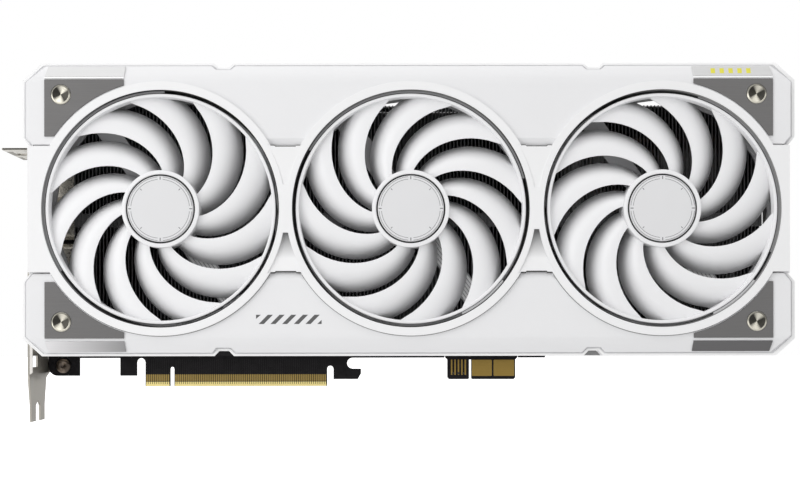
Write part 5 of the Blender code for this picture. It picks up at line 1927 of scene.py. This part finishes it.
@dataclass
class Backplate:
    """Painted rear plate with a stamped field and sunk screws."""

    back: float = 5.0
    rounding: float = 0.25
    overcut: float = 2.0
    field_box: Box = (-152.0, 24.0, 56.0, 120.0)
    field_corner: float = 12.0
    field_depth: float = 0.5
    screw_x: tuple[float, ...] = (-140.0, -60.0, 50.0)
    screw_z: Span = (30.0, 110.0)
    pocket: float = 3.4
    pocket_depth: float = 1.4
    screw_steps: int = 40
    screw_profile: Profile = (
        (0.0, 0.3), (0.9, 0.3), (1.2, 0.75), (2.2, 0.75), (2.7, 0.4), (2.7, -0.2), (0.0, -0.2),
    )

    def field(self) -> Loop:
        """Outline of the stamped field, with cut corners.

        Returns:
            The outline's points in X and Z.
        """
        left, bottom, right, top = self.field_box
        cut = self.field_corner
        lower = [(left, bottom + cut), (left + cut, bottom), (right - cut, bottom), (right, bottom + cut)]
        return lower + [(right, top - cut), (right - cut, top), (left + cut, top), (left, top - cut)]

    def build(self) -> None:
        """Build the plate and its screws."""
        plate = copy_node("backplate", "rear_plate", BACKPLATE_PAINT, 0.0)
        outside, seat = self.back + self.overcut, self.back - self.pocket_depth
        carve(plate, Shape().prism(Along.Y, self.field(), self.back - self.field_depth, outside))
        pockets = Shape()
        for x in self.screw_x:
            for z in self.screw_z:
                pockets.prism(Along.Y, circle((x, z), self.pocket, self.screw_steps), seat, outside)
        carve(plate, pockets)
        tidy_mesh(plate)
        fit(round_edges(plate, self.rounding), CARD, "backplate_paint", "backplate")
        low, high = self.screw_z
        for index, x in enumerate(self.screw_x):
            head = Shape().turn(lifted(self.screw_profile, seat), self.screw_steps)
            row = repeat(f"rear_screws_{index + 1}", head, TURNED_STEEL, Repeat.LINE, 2,
                         (0.0, 0.0, high - low), (x, 0.0, low))
            fit(row, CARD, "polished_screw")


@dataclass
class Bracket:
    """Slot bracket with its ports, and the screw that holds the board to it."""

    rounding: float = 0.15
    edge_y: float = -35.5
    tongue_z: Span = (4.4, 6.6)
    tongue_share: float = 0.82
    window_y: Span = (-26.0, -13.5)
    window_z: Span = (9.0, 15.0)
    window_from: float = -25.0
    window_to: float = -30.0
    window_share: float = 0.85
    lip_x: Span = (-171.1, -168.95)
    lip_top: float = 21.0
    lip_foot: Span = (-0.9, 0.5)
    lip_depth: float = 0.8
    flange_z: float = 106.6
    flange_x: Span = (-182.2, -171.3)
    flange_edge_y: Span = (-0.04, 0.3)
    flange_edge_z: Span = (0.15, 0.75)
    flats: tuple[tuple[Span, Span], ...] = (
        ((-182.0, -171.6), (-35.0, -29.3)),
        ((-179.4, -171.6), (-29.3, -22.6)),
        ((-182.0, -171.6), (-14.6, -9.0)),
        ((-180.0, -171.6), (-9.0, -2.7)),
    )
    flat_z: Span = (-0.12, 0.05)
    ports: int = 5
    port_first_z: float = 24.0
    port_pitch: float = 17.4
    port_y: float = -4.2
    insert_x: Span = (-170.2, -158.0)
    insert_half: Span = (0.8, 5.2)
    insert_rounding: float = 0.2
    pins: int = 10
    pin_first: float = -4.5
    pin_x: Span = (-169.6, -163.0)
    pin_half: Span = (0.86, 0.22)
    screw: Point = (-162.8, 9.6)
    screw_front: float = -1.085
    screw_head: Profile = (
        (0.0, -1.1), (0.5, -1.15), (0.8, -1.5), (1.9, -1.75), (2.5, -1.62), (3.1, -1.2), (3.4, -0.8),
        (3.4, 0.0), (1.4, 0.0),
    )
    screw_shank: float = 1.4
    screw_end: float = 1.9
    screw_angle: float = 45.0
    screw_steps: int = 64

    def build_sheet(self) -> None:
        """Folded sheet with its tongues drawn in towards the front edge, and its small window."""
        sheet = copy_node("bracket", "slot_bracket", NICKEL, self.rounding)
        work = bmesh.new()
        work.from_mesh(sheet.data)
        for level in self.tongue_z:
            geometry = [*work.verts, *work.edges, *work.faces]
            place = (0.0, 0.0, level * MM)
            bmesh.ops.bisect_plane(work, geom=geometry, plane_co=place, plane_no=(0.0, 0.0, 1.0))
        low, high = self.tongue_z
        for vert in work.verts:
            y, z = vert.co.y / MM, vert.co.z / MM
            share = min(max((z - low) / (high - low), 0.0), 1.0)
            if share < 1.0:
                vert.co.y = (self.edge_y + (y - self.edge_y) * blend(self.tongue_share, 1.0, share)) * MM
            elif self.window_y[0] < y < self.window_y[1] and self.window_z[0] < z < self.window_z[1]:
                vert.co.y = (self.window_to + (y - self.window_from) * self.window_share) * MM
        work.to_mesh(sheet.data)
        work.free()
        fit(sheet, CARD, "bracket_nickel", "bracket")

    def build_lip(self) -> None:
        """Pale lip folded along the front edge of the sheet, a lit copy of the nickel as painted light on the
        near edge.
        """
        left, right = self.lip_x
        low, high = (self.tongue_z[1] + offset for offset in self.lip_foot)
        outline = [(left, low), (right, high), (right, self.lip_top), (left, self.lip_top)]
        lip = Shape().prism(Along.Y, outline, self.edge_y, self.edge_y + self.lip_depth)
        mount(lip, "bracket_lip", LIP_PAINTED_LIGHT, "bracket_nickel", rounding=self.rounding)

    def build_flange(self) -> None:
        """Dark front edge of the flange, and the pale flats under it."""
        y = tuple(self.edge_y + offset for offset in self.flange_edge_y)
        z = tuple(self.flange_z + offset for offset in self.flange_edge_z)
        mount(Shape().block(self.flange_x, y, z), "flange_edge", FLANGE_EDGE, "bracket_nickel")
        flats = Shape()
        for x, y in self.flats:
            flats.block(x, y, tuple(self.flange_z + offset for offset in self.flat_z))
        mount(flats, "flange_flats", FLANGE_PALE, "bracket_nickel")

    def build_ports(self) -> None:
        """Port shells, their black tongues and the contacts on them."""
        for port in range(1, self.ports + 1):
            refit(f"video_port_{port}", f"port_shell_{port}", PORT_STEEL, "port_steel", self.rounding)
        step, start = (0.0, 0.0, self.port_pitch), (0.0, 0.0, self.port_first_z)
        thick, tall = self.insert_half
        insert = Shape().block(self.insert_x, (self.port_y - thick, self.port_y + thick), (-tall, tall))
        inserts = repeat("port_tongues", insert, BLACK_PLASTIC, Repeat.LINE, self.ports, step, start,
                         self.insert_rounding)
        fit(inserts, CARD, "black_plastic")
        thick, tall = self.pin_half
        pins = Shape()
        for index in range(self.pins):
            z = self.pin_first + index
            pins.block(self.pin_x, (self.port_y - thick, self.port_y + thick), (z - tall, z + tall))
        fit(repeat("port_contacts", pins, GOLD, Repeat.LINE, self.ports, step, start), CARD, "port_steel")

    def build_screw(self) -> None:
        """Dark turned screw in the left tab of the board."""
        profile = lifted(self.screw_head, self.screw_front)
        profile += [(self.screw_shank, self.screw_end), (0.0, self.screw_end)]
        screw = Shape().turn(profile, self.screw_steps, self.screw)
        mount(screw, "board_screw", DARK_SCREW, "polished_screw", "bracket_screw", angle=self.screw_angle)

    def build(self) -> None:
        """Build the bracket and what it holds."""
        self.build_sheet()
        self.build_lip()
        self.build_flange()
        self.build_ports()
        self.build_screw()


@dataclass
class ModeSwitch:
    """Two-way switch on the board's top edge."""

    rounding: float = 0.2

    def build(self) -> None:
        """Round the switch body and its slider."""
        refit("mode_switch", "switch_body", BLACK_PLASTIC, "black_plastic", self.rounding)
        slider = "switch_slider"
        refit(slider, "switch_knob", SLIDER_WHITE, "slider_white", self.rounding, body=slider)


@dataclass(frozen=True)
class Lamp:
    """One soft area lamp, with its place and size in metres and its power in watts."""

    name: str
    place: Place
    size: Span
    power: float

    def build(self, aim: Vector) -> None:
        """Hang the lamp and point it at the card.

        Args:
            aim: Middle of the card, in metres.
        """
        data = bpy.data.lights.new(self.name, "AREA")
        data.shape = "RECTANGLE"
        data.size, data.size_y = self.size
        data.energy = self.power
        lamp = bpy.data.objects.new(self.name, data)
        lamp.location = self.place
        lamp.rotation_euler = (aim - lamp.location).to_track_quat("-Z", "Y").to_euler()
        bpy.context.scene.collection.objects.link(lamp)


@dataclass
class Studio:
    """Camera, soft lamps, pale floor and white surroundings, in metres."""

    lens: float = 69.0
    sensor: float = 36.0
    clip_start: float = 0.01
    place: Place = (0.0738, -0.720, 0.0215)
    shift: Span = (-0.01, 0.125)
    turn: Place = (90.0, 0.077, 0.0)
    ambient: float = 0.62
    floor_drop: float = 0.30
    floor_glow: float = 0.90
    floor_reach: Span = (0.7, 2.4)
    floor_size: float = 60.0
    floor_corner: float = 12.0
    floor_steps: int = 12
    lamps: tuple[Lamp, ...] = (
        Lamp("key_lamp", (-0.20, -0.56, 1.45), (2.0, 2.0), 10.7),
        Lamp("fill_lamp", (-0.85, -0.95, 0.25), (1.0, 1.0), 5.0),
    )

    def build_camera(self) -> None:
        """Level camera in front of the card, framed as the photograph."""
        data = bpy.data.cameras.new("camera")
        data.lens = self.lens
        data.sensor_width = self.sensor
        data.shift_x, data.shift_y = self.shift
        data.clip_start = self.clip_start
        camera = bpy.data.objects.new("camera", data)
        camera.location = self.place
        camera.rotation_euler = [math.radians(angle) for angle in self.turn]
        bpy.context.scene.collection.objects.link(camera)
        bpy.context.scene.camera = camera

    def build_world(self) -> None:
        """White surroundings for the camera and for reflections, and a softer even light."""
        world = bpy.data.worlds.new("studio")
        bpy.context.scene.world = world
        world.use_nodes = True
        draft = Draft(world.node_tree)
        path = draft.node("ShaderNodeLightPath").outputs
        seen = draft.math("MAXIMUM", path["Is Camera Ray"], path["Is Transmission Ray"])
        seen = draft.math("MAXIMUM", seen, path["Is Glossy Ray"])
        soft = draft.out("ShaderNodeBackground", {"Color": WHITE, "Strength": self.ambient})
        white = draft.out("ShaderNodeBackground", {"Color": WHITE, "Strength": 1.0})
        mixed = draft.out("ShaderNodeMixShader", {0: seen, 1: soft, 2: white})
        draft.tree.links.new(mixed, world.node_tree.nodes["World Output"].inputs["Surface"])

    def build_floor(self) -> None:
        """Pale floor well below the card, which turns to plain white for the camera away from the card."""
        material = STUDIO_FLOOR.make()
        draft = Draft(material.node_tree)
        shader = material.node_tree.nodes["Principled BSDF"]
        seen = draft.node("ShaderNodeLightPath").outputs["Is Camera Ray"]
        length = draft.node("ShaderNodeVectorMath", {0: draft.place()}, operation="LENGTH")
        near, far = self.floor_reach
        values = {"Value": length.outputs["Value"], "From Min": near, "From Max": far}
        fade = draft.out("ShaderNodeMapRange", values)
        glow = draft.math("MULTIPLY", seen, draft.math("MULTIPLY", fade, self.floor_glow))
        shader.inputs["Emission Color"].default_value = WHITE
        draft.tree.links.new(glow, shader.inputs["Emission Strength"])
        half, low = self.floor_size / 2.0, CAD_BOX[0][2] - self.floor_drop
        outline = rounded(-half, -half, half, half, self.floor_corner, self.floor_steps)
        shape = Shape()
        shape.mesh.faces.new([shape.mesh.verts.new((x, y, low)) for x, y in outline])
        shape.piece("floor", STUDIO_FLOOR, Matrix.Identity(4))

    def build(self) -> None:
        """Set up the studio."""
        bpy.context.scene.view_settings.view_transform = "Standard"
        self.build_camera()
        self.build_world()
        self.build_floor()
        low, high = Vector(CAD_BOX[0]), Vector(CAD_BOX[1])
        for lamp in self.lamps:
            lamp.build((low + high) / 2.0)


def main() -> None:
    """Build the studio and the card, sub-assembly by sub-assembly."""
    logging.basicConfig(level=logging.INFO, format="%(name)s: %(message)s")
    Studio().build()
    housing = Housing()
    housing.build()
    CornerTrims(housing).build()
    for side, tip_angle in TIP_ANGLES.items():
        FanWheel(side, tip_angle).build()
        FanBase(side).build()
    Cooler().build()
    Board().build()
    Backplate().build()
    Bracket().build()
    ModeSwitch().build()


if __name__ == "__main__":
    main()
